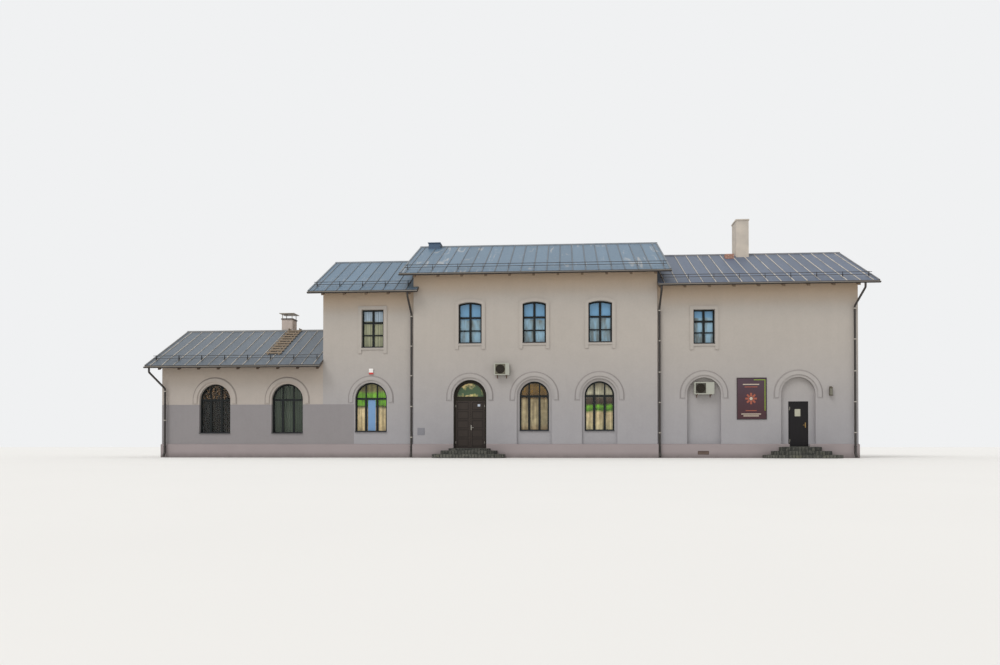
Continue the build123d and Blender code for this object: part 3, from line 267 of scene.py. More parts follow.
class Finish(Nodes):
    """A procedural finish laid out in metres on the building."""

    def __init__(self, name):
        self.material = bpy.data.materials.new(name)
        self.material.use_nodes = True
        super().__init__(self.material.node_tree)
        self.place = self.node("ShaderNodeTexCoord", {}, {}, "Object")
        self.facing = self.node("ShaderNodeTexCoord", {}, {}, "Normal")

    def axis(self, letter, vector=None):
        """One coordinate, of the place unless another vector is given."""
        return self.node("ShaderNodeSeparateXYZ", {}, {0: vector or self.place}, letter)

    def noise(self, scale, detail=3.0, vector=None, roughness=0.55):
        """Soft clouds from 0 to 1."""
        settings = {"Vector": vector or self.place, "Scale": scale, "Detail": detail, "Roughness": roughness}
        return self.node("ShaderNodeTexNoise", {}, settings)

    def streaks(self, x, y, z, detail, roughness=0.55):
        """Soft clouds with their own scale along each axis, long where it is small."""
        scales = {0: self.place, 1: (x, y, z)}
        stretched = self.node("ShaderNodeVectorMath", {"operation": "MULTIPLY"}, scales)
        return self.noise(1.0, detail, stretched, roughness)

    def step(self, value, low, high):
        """0 below low, 1 above high, smooth between."""
        return self.node("ShaderNodeMapRange", {"interpolation_type": "SMOOTHSTEP"},
                         {"Value": value, "From Min": low, "From Max": high})

    def fall(self, value, low, high):
        """1 below low, 0 above high, smooth between."""
        return 1 - self.step(value, low, high)

    def past(self, value, edge):
        """0 before an edge and 1 from it on."""
        return self.step(value, edge - TINY, edge)

    def until(self, value, edge):
        """1 before an edge and 0 from it on."""
        return 1 - self.past(value, edge)

    def between(self, value, low, high, soft=0.004):
        """1 between two levels and 0 outside them."""
        return self.step(value, low - soft, low + soft) * self.fall(value, high - soft, high + soft)

    def upward(self, low, high):
        """0 on faces that look up less than low, 1 on those that look up more than high."""
        return self.step(self.axis("Z", self.facing), low, high)

    def mix(self, share, first, second):
        """Two colours mixed by a share."""
        return self.node("ShaderNodeMix", {"data_type": "RGBA"}, {0: share, 6: first, 7: second}, 2)

    def tone(self, colour, share):
        """A colour made darker or lighter."""
        plain = colour if isinstance(colour, Value) else tuple(colour)[:3]
        return self.node("ShaderNodeVectorMath", {"operation": "SCALE"}, {0: plain, "Scale": share})

    def size(self, value):
        """A number without its sign."""
        return self.node("ShaderNodeMath", {"operation": "ABSOLUTE"}, {0: value})

    def cell(self, value):
        """A steady random number for each whole part of a value."""
        whole = self.node("ShaderNodeMath", {"operation": "FLOOR"}, {0: value})
        return self.node("ShaderNodeTexWhiteNoise", {"noise_dimensions": "1D"}, {"W": whole})

    def laid(self, colours, vector, length, course, joint, offset=0.5):
        """Tiles or bricks of two tones with their joints."""
        sizes = {"Scale": 1.0, "Brick Width": length, "Row Height": course, "Mortar Size": joint}
        return self.node("ShaderNodeTexBrick", {"offset": offset}, {"Vector": vector, **colours, **sizes})

    def surface(self, colour, roughness, height=None, depth=0.002, **fixed):
        """The surface shader, with a bump where a height is given."""
        inputs = {"Base Color": colour, "Roughness": roughness}
        if height is not None:
            inputs["Normal"] = self.node("ShaderNodeBump", {}, {"Height": height, "Distance": depth})
        for name, value in fixed.items():
            inputs[name.replace("_", " ")] = value
        self.end("ShaderNodeOutputMaterial", self.node("ShaderNodeBsdfPrincipled", {}, inputs))
        return self.material


def dress(material, *names):
    """Give a finish to whole nodes of the frame."""
    for name in names:
        for slot in NODES[name].material_slots:
            slot.material = material


# Shapes


class Shape:
    """A piece under construction, in the building's own metres."""

    def __init__(self):
        self.mesh = bmesh.new()

    def block(self, low, high, bevel=0.0, turn=None, segments=1):
        """A box between two corners, its edges rounded, turned as a whole where a turn is given."""
        low, high = Vector(low), Vector(high)
        place = Matrix.Translation((low + high) / 2) @ Matrix.Diagonal((*(high - low), 1.0))
        made = bmesh.ops.create_cube(self.mesh, size=1.0, matrix=(turn or Matrix()) @ place)
        self._soften(made["verts"], bevel, segments)

    def _soften(self, verts, bevel, segments):
        if bevel:
            edges = list({edge for vert in verts for edge in vert.link_edges})
            bmesh.ops.bevel(self.mesh, geom=edges, offset=bevel, offset_type="OFFSET", affect="EDGES",
                            segments=segments, profile=0.5, material=-1, clamp_overlap=True)

    def beam(self, start, end, width, height, taper=1.0):
        """A bar whose underside's middle line runs from start to end, narrower above by a taper."""
        start, end = Vector(start), Vector(end)
        along = (end - start).normalized()
        side = Vector((0, 0, 1)).cross(along).normalized()
        turn = Matrix((along, side, along.cross(side))).transposed().to_4x4()
        place = Matrix.Translation((start + end) / 2) @ turn @ Matrix.Translation((0, 0, height / 2))
        made = bmesh.ops.create_cube(self.mesh, size=1.0)
        for vert in made["verts"]:
            if vert.co.z > 0:
                vert.co.y *= taper
        size = Matrix.Diagonal(((end - start).length, width, height, 1.0))
        bmesh.ops.transform(self.mesh, matrix=place @ size, verts=made["verts"])

    def rod(self, start, end, radius, sides=12, end_radius=None):
        """A round bar or a cone between two points."""
        start, end = Vector(start), Vector(end)
        turn = (end - start).to_track_quat("Z", "Y").to_matrix().to_4x4()
        far = radius if end_radius is None else end_radius
        bmesh.ops.create_cone(self.mesh, cap_ends=True, cap_tris=False, segments=sides, radius1=radius,
                              radius2=far, depth=(end - start).length,
                              matrix=Matrix.Translation((start + end) / 2) @ turn)

    def hoop(self, centre, radius, wire, steps=36, sides=WIRE_SIDES):
        """A wire ring that faces forwards."""
        centre = Vector(centre)
        start = Matrix.Translation(centre + Vector((radius, 0, 0)))
        made = bmesh.ops.create_circle(self.mesh, cap_ends=False, segments=sides, radius=wire)
        bmesh.ops.transform(self.mesh, matrix=start, verts=made["verts"])
        edges = list({edge for vert in made["verts"] for edge in vert.link_edges})
        bmesh.ops.spin(self.mesh, geom=made["verts"] + edges, cent=centre, axis=(0, 1, 0), dvec=(0, 0, 0),
                       angle=math.tau, steps=steps, use_merge=True)

    def arc(self, centre, inner, outer, y0, y1, steps=28):
        """A half ring over a doorway, from its left springing to its right one."""
        centre = Vector(centre)
        middle = centre + Vector((-(inner + outer) / 2, (y0 + y1) / 2 - centre.y, 0))
        size = Matrix.Diagonal((outer - inner, y1 - y0, 1.0, 1.0))
        made = bmesh.ops.create_grid(self.mesh, x_segments=1, y_segments=1, size=0.5,
                                     matrix=Matrix.Translation(middle) @ size)
        geometry = {item for vert in made["verts"] for item in (vert, *vert.link_edges, *vert.link_faces)}
        bmesh.ops.spin(self.mesh, geom=list(geometry), cent=centre, axis=(0, 1, 0), dvec=(0, 0, 0),
                       angle=math.pi, steps=steps, use_merge=False)

    def prism(self, outline, lift):
        """An outline of corners, drawn out by one vector."""
        corners = [self.mesh.verts.new(corner) for corner in outline]
        face = self.mesh.faces.new(corners)
        made = bmesh.ops.extrude_face_region(self.mesh, geom=[face])
        moved = [item for item in made["geom"] if isinstance(item, bmesh.types.BMVert)]
        bmesh.ops.translate(self.mesh, vec=lift, verts=moved)

    def keep(self, name, finish, slot, body=BUILDING, replaces=(), smooth=False, closed=True):
        """The finished object: its normals set, riding on its body, with its finish. The slot is not used."""
        if closed:
            bmesh.ops.recalc_face_normals(self.mesh, faces=self.mesh.faces)
        data = bpy.data.meshes.new(name)
        self.mesh.to_mesh(data)
        self.mesh.free()
        data.materials.append(finish)
        if smooth:
            for face in data.polygons:
                face.use_smooth = True
            data.set_sharp_from_angle(angle=SMOOTH_ANGLE)
        piece = bpy.data.objects.new(name, data)
        bpy.context.scene.collection.objects.link(piece)
        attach(piece, body)
        if replaces:
            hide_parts(*replaces)
        return piece


def solids(node):
    """The corner pairs of each separate solid in a node: the front ones first, then from left to right."""
    mesh = bmesh.new()
    mesh.from_mesh(NODES[node].data)
    bmesh.ops.remove_doubles(mesh, verts=mesh.verts, dist=TINY / 10)
    left = set(mesh.verts)
    found = []
    while left:
        reached = {left.pop()}
        front = list(reached)
        while front:
            vert = front.pop()
            for edge in vert.link_edges:
                other = edge.other_vert(vert)
                if other in left:
                    left.discard(other)
                    reached.add(other)
                    front.append(other)
        low = Vector([min(vert.co[axis] for vert in reached) for axis in range(3)])
        high = Vector([max(vert.co[axis] for vert in reached) for axis in range(3)])
        found.append((low, high))
    mesh.free()
    return sorted(found, key=lambda pair: (pair[0].y > 0, round(pair[0].x, 2), round(pair[0].z, 2)))


class Pitch:
    """The upper faces of one roof, read from its node."""

    def __init__(self, node, x1=None):
        low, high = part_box(node)
        self.x0 = low.x
        self.x1 = high.x if x1 is None else x1
        self.front = low.y
        self.rear = high.y
        self.ridge = high.z
        self.middle = (low.y + high.y) / 2
        self.eave = max(vert.co.z for vert in NODES[node].data.vertices if vert.co.y < low.y + TINY)
        self.slope = (self.ridge - self.eave) / (self.middle - self.front)

    def eaves(self):
        """The front and rear edge lines."""
        return self.front, self.rear


ROOFS = {
    "a_roof": Pitch("a_roof"),
    "b_roof": Pitch("b_roof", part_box("c_left_gable_wall")[0].x),
    "c_roof": Pitch("c_roof"),
    "d_roof": Pitch("d_roof"),
}


# Walls

WING_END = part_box("b_gable_wall")[0].x
WARM_FROM = 0.5
WARM_TO = 6.5
GLOW_REACH = 1.3
GLOW_EDGE = 0.1
FLAT_FACE = (0.80, 0.97)
UNDER_FACE = (-0.5, -0.2)
SPLASH_TOP = 0.34
SAND = 160.0
CAP_COURSE = 0.071
SHAFT_PALE = tint(206, 194, 184)
SHAFT_DULL = tint(190, 176, 168)
SHAFT_CAP = tint(104, 98, 94)
STACK_PALE = tint(226, 214, 198)
TILE = 0.3
TILE_JOINT = 0.006
TILE_COLOURS = {"Color1": tint(150, 138, 122), "Color2": tint(134, 124, 110), "Mortar": tint(92, 86, 78)}
BRICK_LENGTH = 0.25
BRICK_COURSE = 0.075
BRICK_JOINT = 0.008
BRICK_LAP = 0.01
BRICK_COLOURS = {"Color1": tint(178, 120, 98), "Color2": tint(150, 100, 84), "Mortar": tint(188, 178, 164)}


def wall_paint(coat, look, eave=None):
    """The paint's colour: cooler below and warmer above, partly painted sky light, with a painted warm glow
    under the eaves and the darker field of the low wing.
    """
    x = coat.axis("X")
    z = coat.axis("Z")
    # Partly painted light: the cooler lower tone stands for sky light on the shaded wall.
    colour = coat.mix(coat.step(z, WARM_FROM, WARM_TO), look.low, look.high)
    if eave is not None:
        # Painted light: a warm glow on the wall just under each eave.
        painted_glow_share = coat.step(z, eave - GLOW_REACH, eave - GLOW_EDGE) * (0.75 + 0.25 * coat.noise(1.2))
        colour = coat.mix(0.85 * painted_glow_share, colour, look.painted_eave_glow)
    above_field = coat.past(z, look.field_top)
    colour = coat.mix(0.75 * coat.until(x, WING_END) * above_field, colour, look.wing)
    behind = coat.past(coat.axis("Y"), TINY) * coat.past(x, WING_END)
    field = coat.until(x, look.field_end) * (1 - behind) * (1 - above_field)
    colour = coat.mix(field, colour, look.field)
    clouds = coat.noise(0.45, 4.0)
    patches = coat.noise(2.6, 3.0)
    specks = coat.noise(10.0, 2.0)
    runs = coat.streaks(5.0, 5.0, 0.35, 4.0)
    return coat.tone(colour, 0.84 + 0.10 * clouds + 0.08 * patches + 0.05 * runs + 0.09 * specks)


def plaster_height(coat):
    """Trowelled unevenness with a fine sandy grain."""
    return 0.55 * coat.noise(9.0, 3.0) + 0.45 * coat.noise(SAND, 2.0)


def wall_finish(look, name, eave):
    """Painted lime plaster of one block."""
    coat = Finish(name)
    rough = 0.86 + 0.10 * coat.noise(SAND, 2.0)
    return coat.surface(wall_paint(coat, look, eave), rough, plaster_height(coat), 0.004)


def trim_finish(look):
    """The same paint on raised mouldings, with dust and shade on their slanting edges."""
    coat = Finish("trim_paint")
    sideways = coat.most(coat.size(coat.axis("X", coat.facing)), coat.size(coat.axis("Y", coat.facing)))
    slant = coat.fall(sideways, *FLAT_FACE) * coat.upward(*UNDER_FACE)
    # Dust and painted shade on slanting faces that do not look down.
    wear_and_painted_light = slant * (0.38 + 0.25 * coat.noise(6.0, 3.0))
    colour = coat.mix(wear_and_painted_light, wall_paint(coat, look), look.shadow)
    return coat.surface(colour, 0.86 + 0.08 * coat.noise(120.0), plaster_height(coat), 0.003)


def plinth_finish(look):
    """Plinth paint, splashed darker towards the ground."""
    coat = Finish("plinth_paint")
    splash = coat.fall(coat.axis("Z"), 0.0, SPLASH_TOP) * (0.35 + 0.5 * coat.noise(3.0, 5.0))
    colour = coat.mix(splash, look.plinth, look.shadow)
    colour = coat.mix(0.25 * coat.upward(0.3, 0.8), colour, look.shadow)
    colour = coat.tone(colour, 0.93 + 0.10 * coat.noise(1.1, 4.0))
    return coat.surface(colour, 0.88 + 0.08 * coat.noise(140.0), plaster_height(coat), 0.005)


def floor_finish():
    """Worn floor tiles inside."""
    coat = Finish("floor_tiles")
    tiles = coat.laid(TILE_COLOURS, coat.place, TILE, TILE, TILE_JOINT, 0.0)
    colour = coat.tone(tiles, 0.9 + 0.2 * coat.noise(2.0))
    return coat.surface(colour, 0.45 + 0.2 * coat.noise(8.0), coat.noise(30.0), 0.001)


def chimney_finish(look):
    """A plastered chimney shaft with a dark cap course."""
    coat = Finish("chimney_plaster")
    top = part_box("a_chimney")[1].z
    cap = coat.between(coat.axis("Z"), top - CAP_COURSE, top + TINY)
    colour = coat.mix(coat.noise(1.6, 4.0), SHAFT_PALE, SHAFT_DULL)
    colour = coat.mix(0.2 * coat.streaks(6.0, 6.0, 0.6, 4.0), colour, look.shadow)
    colour = coat.mix(cap, coat.tone(colour, 1.08), SHAFT_CAP)
    return coat.surface(colour, 0.85 + 0.1 * coat.noise(90.0), plaster_height(coat), 0.006)


def brick_finish(look):
    """The tall plastered chimney and the low brick one beside it."""
    coat = Finish("chimney_brick")
    low, high = min(solids("d_chimneys"), key=lambda pair: pair[1].z)
    along = coat.node("ShaderNodeCombineXYZ", {}, {0: coat.axis("X") + coat.axis("Y"), 1: coat.axis("Z")})
    bricks = coat.laid(BRICK_COLOURS, along, BRICK_LENGTH, BRICK_COURSE, BRICK_JOINT)
    plaster = coat.mix(coat.noise(1.6, 4.0), look.high, STACK_PALE)
    share = coat.between(coat.axis("X"), low.x - BRICK_LAP, high.x + BRICK_LAP)
    colour = coat.tone(coat.mix(share, plaster, bricks), 0.88 + 0.18 * coat.noise(3.0, 4.0))
    return coat.surface(colour, 0.88, plaster_height(coat), 0.006)


class STATION_OT_walls(bpy.types.Operator):
    """Finish the walls, mouldings, plinth, floors and chimneys"""

    bl_idname = "station.walls"
    bl_label = "Walls"

    def execute(self, context):
        look = context.scene.station_walls
        for name, roof in ROOFS.items():
            block = name[0]
            walls = [node for node in NODES if node.startswith(block + "_") and "_wall" in node]
            dress(wall_finish(look, block + "_wall_paint", roof.eave), *walls)
        dress(trim_finish(look), "arch_hoods", "window_surrounds")
        dress(plinth_finish(look), "plinth")
        dress(floor_finish(), "ground_floor", "upper_floor")
        dress(chimney_finish(look), "a_chimney")
        dress(brick_finish(look), "d_chimneys")
        return {"FINISHED"}


# Roofs

GUARD_INSET = 0.30
GUARD_PITCH = 1.18
RIDGE_WING = 0.11
RIDGE_SHEET = 0.010
RIDGE_ROLL = 0.020
VERGE_WIDTH = 0.09
VERGE_RISE = 0.032
VERGE_TAPER = 0.8
SEAM_TAPER = 0.55
SEAM_SINK = 0.002
SEAM_SHADE = (0.022, 0.05)
REAR_TRAYS = 40
PLANK = 0.12
EDGE_BROWN = tint(70, 66, 62)
EDGE_WEAR_AND_LIGHT = 0.2
# Each roof's sheet, how much painted glint it has, how much painted sunlight and wear its seams show, and its
# free ends
ROOF_PLANS = {
    "a_roof": ("wing", 0.05, 0.85, (LEFT,)),
    "b_roof": ("middle", 0.18, 0.22, (LEFT,)),
    "c_roof": ("middle", 0.62, 0.22, (LEFT, RIGHT)),
    "d_roof": ("right", 0.08, 1.00, (RIGHT,)),
}


def seam_places(roof):
    """Where the seams run: one at each snow-guard bracket and one half-way between."""
    start = roof.x0 + GUARD_INSET
    end = roof.x1 - GUARD_INSET
    bays = 2 * max(round((end - start) / GUARD_PITCH), 1)
    return [start + (end - start) * index / bays for index in range(bays + 1)]


def sheet_finish(name, sheet, look, roof, glints):
    """Coated sheet in trays: each tray its own tone, with streaks, pale painted glints of sunlight and a
    painted shadow along each seam.
    """
    coat = Finish(name)
    x = coat.axis("X")
    y = coat.axis("Y")
    places = seam_places(roof)
    tray_width = places[1] - places[0]
    tray = coat.cell((x - places[0]) / tray_width + REAR_TRAYS * coat.past(y, roof.middle))
    flow = coat.streaks(2.6, 0.55, 0.55, 5.0, 0.6)
    colour = coat.tone(sheet, 0.84 + 0.16 * tray + 0.22 * flow)
    # Painted highlight: pale wavy glints of sunlight on the sheet.
    waves = coat.streaks(1.9, 0.22, 0.22, 2.0, 0.35)
    painted_glint = coat.between(waves, 0.485, 0.515, 0.03) * coat.step(coat.noise(0.55, 2.0), 0.50, 0.66)
    colour = coat.mix(glints * painted_glint, colour, look.seam)
    # Painted shadow: a dark band along both sides of each seam.
    beside = coat.node("ShaderNodeMath", {"operation": "PINGPONG"}, {0: x - places[0], 1: tray_width / 2})
    colour = coat.tone(colour, 0.55 + 0.45 * coat.step(beside, *SEAM_SHADE))
    dull = coat.noise(7.0, 4.0)
    run = roof.middle - roof.front
    dirt = coat.step(coat.size(y - roof.middle), 0.80 * run, run)
    colour = coat.tone(colour, 1 - 0.16 * dirt * dull)
    below = 1 - coat.upward(-0.3, 0.3)
    boards = 0.8 + 0.3 * coat.cell(y / PLANK) + 0.2 * coat.streaks(1.0, 14.0, 1.0, 4.0)
    colour = coat.mix(below, colour, coat.tone(look.board, boards))
    upright = coat.between(coat.axis("Z", coat.facing), -0.3, 0.3, 0.05)
    colour = coat.mix(0.7 * upright, colour, EDGE_BROWN)
    rough = 0.40 + 0.18 * dull + 0.3 * below
    return coat.surface(colour, rough, 0.7 * waves + 0.3 * coat.noise(3.5, 3.0), 0.012)


def seam_finish(name, sheet, look, wear_and_painted_light):
    """Folded seams, darker than the sheet, paler in long patches of painted sunlight and wear."""
    coat = Finish(name)
    patchy = coat.step(coat.streaks(2.2, 0.9, 0.9, 4.0), 0.30, 0.55)
    colour = coat.tone(sheet, 0.50 + 0.25 * coat.noise(5.0))
    # Painted highlight: pale sunlit patches on the seams, partly wear.
    colour = coat.mix(wear_and_painted_light * (0.45 + 0.55 * patchy), colour, look.seam)
    return coat.surface(colour, 0.42 + 0.2 * patchy, coat.noise(40.0), 0.001)


def seams(name, roof, look, finish):
    """Standing seams from eave to ridge on both slopes."""
    shape = Shape()
    for x in seam_places(roof):
        for edge in roof.eaves():
            foot = (x, edge, roof.eave - SEAM_SINK)
            head = (x, roof.middle, roof.ridge - SEAM_SINK)
            shape.beam(foot, head, look.seam_width, look.seam_height, SEAM_TAPER)
    shape.keep(name + "_seams", finish, "roof_metal")


def ridge_cap(name, roof, finish):
    """A folded ridge sheet with a raised roll."""
    drop = RIDGE_WING * roof.slope
    lift = RIDGE_ROLL + RIDGE_SHEET
    rear = [(RIDGE_WING, -drop), (RIDGE_WING, lift - drop), (RIDGE_ROLL, lift), (RIDGE_ROLL / 2, 2 * lift)]
    outline = [(-y, z) for y, z in rear] + rear[::-1] + [(0, -TINY)]
    shape = Shape()
    corners = [(roof.x0, roof.middle + y, roof.ridge + z) for y, z in outline]
    shape.prism(corners, (roof.x1 - roof.x0, 0, 0))
    shape.keep(name + "_ridge_cap", finish, "roof_metal")


def verge_caps(name, roof, sides, finish):
    """Raised edge strips down the free ends of a roof."""
    shape = Shape()
    for side in sides:
        x = roof.x0 + VERGE_WIDTH / 2 if side == LEFT else roof.x1 - VERGE_WIDTH / 2
        for edge in roof.eaves():
            foot = (x, edge, roof.eave)
            shape.beam(foot, (x, roof.middle, roof.ridge), VERGE_WIDTH, VERGE_RISE, VERGE_TAPER)
    shape.keep(name + "_verge_caps", finish, "roof_metal")


class STATION_OT_roofs(bpy.types.Operator):
    """Finish the roofs and lay their seams, ridge caps and verge strips"""

    bl_idname = "station.roofs"
    bl_label = "Roofs"

    def execute(self, context):
        look = context.scene.station_roofs
        for name, (paint, glints, wear_and_painted_light, free) in ROOF_PLANS.items():
            roof = ROOFS[name]
            sheet = getattr(look, paint)
            dress(sheet_finish(name + "_sheet", sheet, look, roof, glints), name)
            seams(name, roof, look, seam_finish(name + "_seam", sheet, look, wear_and_painted_light))
            edge = seam_finish(name + "_edge", sheet, look, EDGE_WEAR_AND_LIGHT)
            ridge_cap(name, roof, edge)
            verge_caps(name, roof, free, edge)
        return {"FINISHED"}


# Eaves, gutters and pipes

GUTTER_RIM = 0.066
GUTTER_WIDTH = 0.144
GUTTER_END = 0.3
RIM_WORN = 0.022
STRAP_WIDTH = 0.026
STRAP_SHEET = 0.005
PIPE_RADIUS = 0.050
PIPE_SIDES = 20
BRACKET_NEAR = 0.02
BRACKET_REACH = (0.07, 0.2)
BRACKET_APART = 0.25
CLAMP_RADIUS = 0.061
CLAMP_HEIGHT = 0.045
TAB_REACH = 0.088
TAB_HALF_DEPTH = 0.014
TAB_HALF_HEIGHT = 0.012
TAB_EDGE = 0.003
BOOT_TOP = 0.52
BOOT_RADIUS = 0.058
BOOT_FOOT = 0.03
COLLAR_RADIUS = 0.066
COLLAR_HEIGHT = 0.04
SHOE_OUT = 0.13
SHOE_START = 0.06
SHOE_LIP = 0.07
SHOE_RADIUS = 0.062
STAINED_DARK = tint(50, 42, 36)
# Warm browns that match the painted glow on the wall under the eaves.
EAVE_GLOW_DARK = tint(112, 94, 78)
EAVE_GLOW_PALE = tint(136, 118, 100)
# The ladder's grey-brown and a pale tone that is partly painted highlight along its grain.
LADDER_GREY_AND_HIGHLIGHT = (tint(62, 54, 46), tint(172, 154, 132))
LADDER_GRAIN = (3.0, 3.0, 12.0)
GUTTER_DUST = tint(120, 112, 104)
ZINC_DUST = tint(210, 204, 194)
GUARD_STEEL = (tint(62, 62, 64), tint(130, 126, 120))
VENT_BLUE = (tint(70, 92, 116), tint(150, 168, 184))
# Painted light: the chimney cover is toned bright as sunlit, paler still on its top.
COVER_SHEET_SUNLIT = (tint(168, 158, 144), tint(236, 228, 214))


def timber_finish(name, dark, pale, grain):
    """Weathered stained wood, its grain long where the scale along an axis is small."""
    coat = Finish(name)
    lines = coat.streaks(*grain, 6.0, 0.65)
    colour = coat.mix(lines, dark, pale)
    colour = coat.tone(colour, 0.85 + 0.3 * coat.noise(1.4, 3.0))
    return coat.surface(colour, 0.62 + 0.2 * lines, lines, 0.003, Specular_IOR_Level=LOW_GLOSS)


def eave_finish(look):
    """Rafter ends: dark stained on the low wing, and on the taller blocks a paler warm brown that matches the
    painted glow under their eaves.
    """
    coat = Finish("eave_timber")
    lines = coat.streaks(14.0, 1.2, 14.0, 6.0, 0.65)
    stained = coat.mix(lines, STAINED_DARK, look.board)
    # Matches the painted glow on the wall under the eaves.
    eave_glow_toned = coat.mix(lines, EAVE_GLOW_DARK, EAVE_GLOW_PALE)
    colour = coat.mix(coat.until(coat.axis("X"), WING_END), eave_glow_toned, stained)
    colour = coat.tone(colour, 0.85 + 0.3 * coat.noise(1.4, 3.0))
    return coat.surface(colour, 0.62 + 0.2 * lines, lines, 0.003)


def coated_finish(name, colour, dust_and_sunlit_tone, rough=0.42, gloss=0.5):
    """Coated sheet metal with dust and small scuffs, paler on faces that look up: dust, and on the chimney
    cover painted sunlight.
    """
    coat = Finish(name)
    dust = coat.noise(2.2, 5.0)
    toned = coat.tone(colour, 0.82 + 0.30 * dust)
    # Paler on faces that look up: dust, and on the chimney cover painted sunlight.
    toned = coat.mix(0.30 * coat.upward(0.4, 0.9) * dust, toned, dust_and_sunlit_tone)
    return coat.surface(toned, rough + 0.2 * dust, coat.noise(60.0), 0.0008, Specular_IOR_Level=gloss)


def gutter_finish(look):
    """Coated gutters whose upper rim is worn pale."""
    coat = Finish("gutter_sheet")
    x = coat.axis("X")
    z = coat.axis("Z")
    rim = 0
    for roof in ROOFS.values():
        level = coat.between(z, roof.eave - GUTTER_RIM - RIM_WORN, roof.eave - GUTTER_RIM + RIM_WORN)
        rim = rim + level * coat.between(x, roof.x0 - TINY, roof.x1 + GUTTER_END)
    dust = coat.noise(2.2, 5.0)
    colour = coat.tone(look.gutter, 0.82 + 0.30 * dust)
    colour = coat.mix(rim * (0.45 + 0.4 * dust), colour, look.clamp)
    return coat.surface(colour, 0.42 + 0.2 * dust, coat.noise(60.0), 0.0008)


def pipe_axes():
    """Each downpipe's line and the heights of its brackets, and the height of the pipes' feet."""
    verts = [vert.co for vert in NODES["downpipes"].data.vertices]
    foot = min(co.z for co in verts)
    rings = {}
    for co in verts:
        if co.z < foot + TINY:
            rings.setdefault((round(co.x), co.y > 0), []).append(co)
    least, most = BRACKET_REACH
    pipes = []
    for ring in rings.values():
        x = sum(co.x for co in ring) / len(ring)
        y = sum(co.y for co in ring) / len(ring)
        beside = [co for co in verts if abs(co.x - x) < BRACKET_NEAR and least < abs(co.y - y) < most]
        heights = sorted({round(co.z, 1) for co in beside if co.z > foot})
        pipes.append((x, y, merged(heights)))
    return pipes, foot


def merged(heights):
    """Heights that lie close together, taken as one."""
    groups = []
    for height in heights:
        if groups and height - groups[-1][-1] < BRACKET_APART:
            groups[-1].append(height)
        else:
            groups.append([height])
    return [sum(group) / len(group) for group in groups]


def pipe_clamps(finish, dark):
    """Zinc clamps round the pipes, and cast boots at their feet."""
    pipes, foot = pipe_axes()
    clamps = Shape()
    boots = Shape()
    for x, y, heights in pipes:
        for z in heights:
            clamps.rod((x, y, z - CLAMP_HEIGHT / 2), (x, y, z + CLAMP_HEIGHT / 2), CLAMP_RADIUS, PIPE_SIDES)
            clamps.block((x + PIPE_RADIUS, y - TAB_HALF_DEPTH, z - TAB_HALF_HEIGHT),
                         (x + TAB_REACH, y + TAB_HALF_DEPTH, z + TAB_HALF_HEIGHT), TAB_EDGE)
        lip = (x, y + math.copysign(SHOE_OUT, y), SHOE_LIP)
        boots.rod((x, y, foot + BOOT_FOOT), (x, y, BOOT_TOP), BOOT_RADIUS, PIPE_SIDES)
        boots.rod((x, y, BOOT_TOP), (x, y, BOOT_TOP + COLLAR_HEIGHT), COLLAR_RADIUS, PIPE_SIDES)
        boots.rod((x, y, foot + SHOE_START), lip, BOOT_RADIUS, PIPE_SIDES, SHOE_RADIUS)
    clamps.keep("pipe_clamps", finish, "dark_metal", smooth=True)
    boots.keep("pipe_boots", dark, "dark_metal", smooth=True)


def gutter_straps(finish):
    """Sheet straps that tie each gutter's rim back to the roof's edge."""
    shape = Shape()
    size = Vector((STRAP_WIDTH, GUTTER_WIDTH, STRAP_SHEET))
    for roof in ROOFS.values():
        for x in seam_places(roof):
            for y in (roof.front - GUTTER_WIDTH, roof.rear):
                corner = Vector((x - STRAP_WIDTH / 2, y, roof.eave - GUTTER_RIM))
                shape.block(corner, corner + size)
    shape.keep("gutter_straps", finish, "dark_metal")


class STATION_OT_eaves(bpy.types.Operator):
    """Finish the eave timbers, gutters, pipes, snow guards and the roof ladder"""

    bl_idname = "station.eaves"
    bl_label = "Eaves and pipes"

    def execute(self, context):
        look = context.scene.station_fittings
        roofs = context.scene.station_roofs
        dress(eave_finish(roofs), "eave_timbers")
        metal = coated_finish("gutter_coating", look.gutter, GUTTER_DUST)
        dress(metal, "downpipes")
        dress(gutter_finish(look), "gutters")
        dress(coated_finish("guard_coating", *GUARD_STEEL), "snow_guards")
        dress(coated_finish("vent_coating", *VENT_BLUE), "ridge_vent")
        dress(coated_finish("cover_sheet", *COVER_SHEET_SUNLIT), "a_chimney_cover")
        dress(timber_finish("ladder_timber", *LADDER_GREY_AND_HIGHLIGHT, LADDER_GRAIN), "roof_ladder")
        pipe_clamps(coated_finish("clamp_zinc", look.clamp, ZINC_DUST, rough=0.35), metal)
        gutter_straps(metal)
        return {"FINISHED"}


# Windows and curtains

PANE_COVER = 0.26
UPPER_COVER = 0.74
GROUND_SILL = 1.20
GROUND_HEAD = 3.78
FIRST_END = -12.4
FIRST_TRANSOM = (2.88, 2.92)
BLIND_AT = -6.35
BLIND_HALF = 0.19
BLIND_TOP = 2.85
UPPER_FROM = (4.81, 5.11)
UPPER_TRANSOM = (6.68, 6.76)
UPPER_NET_END = -4.2
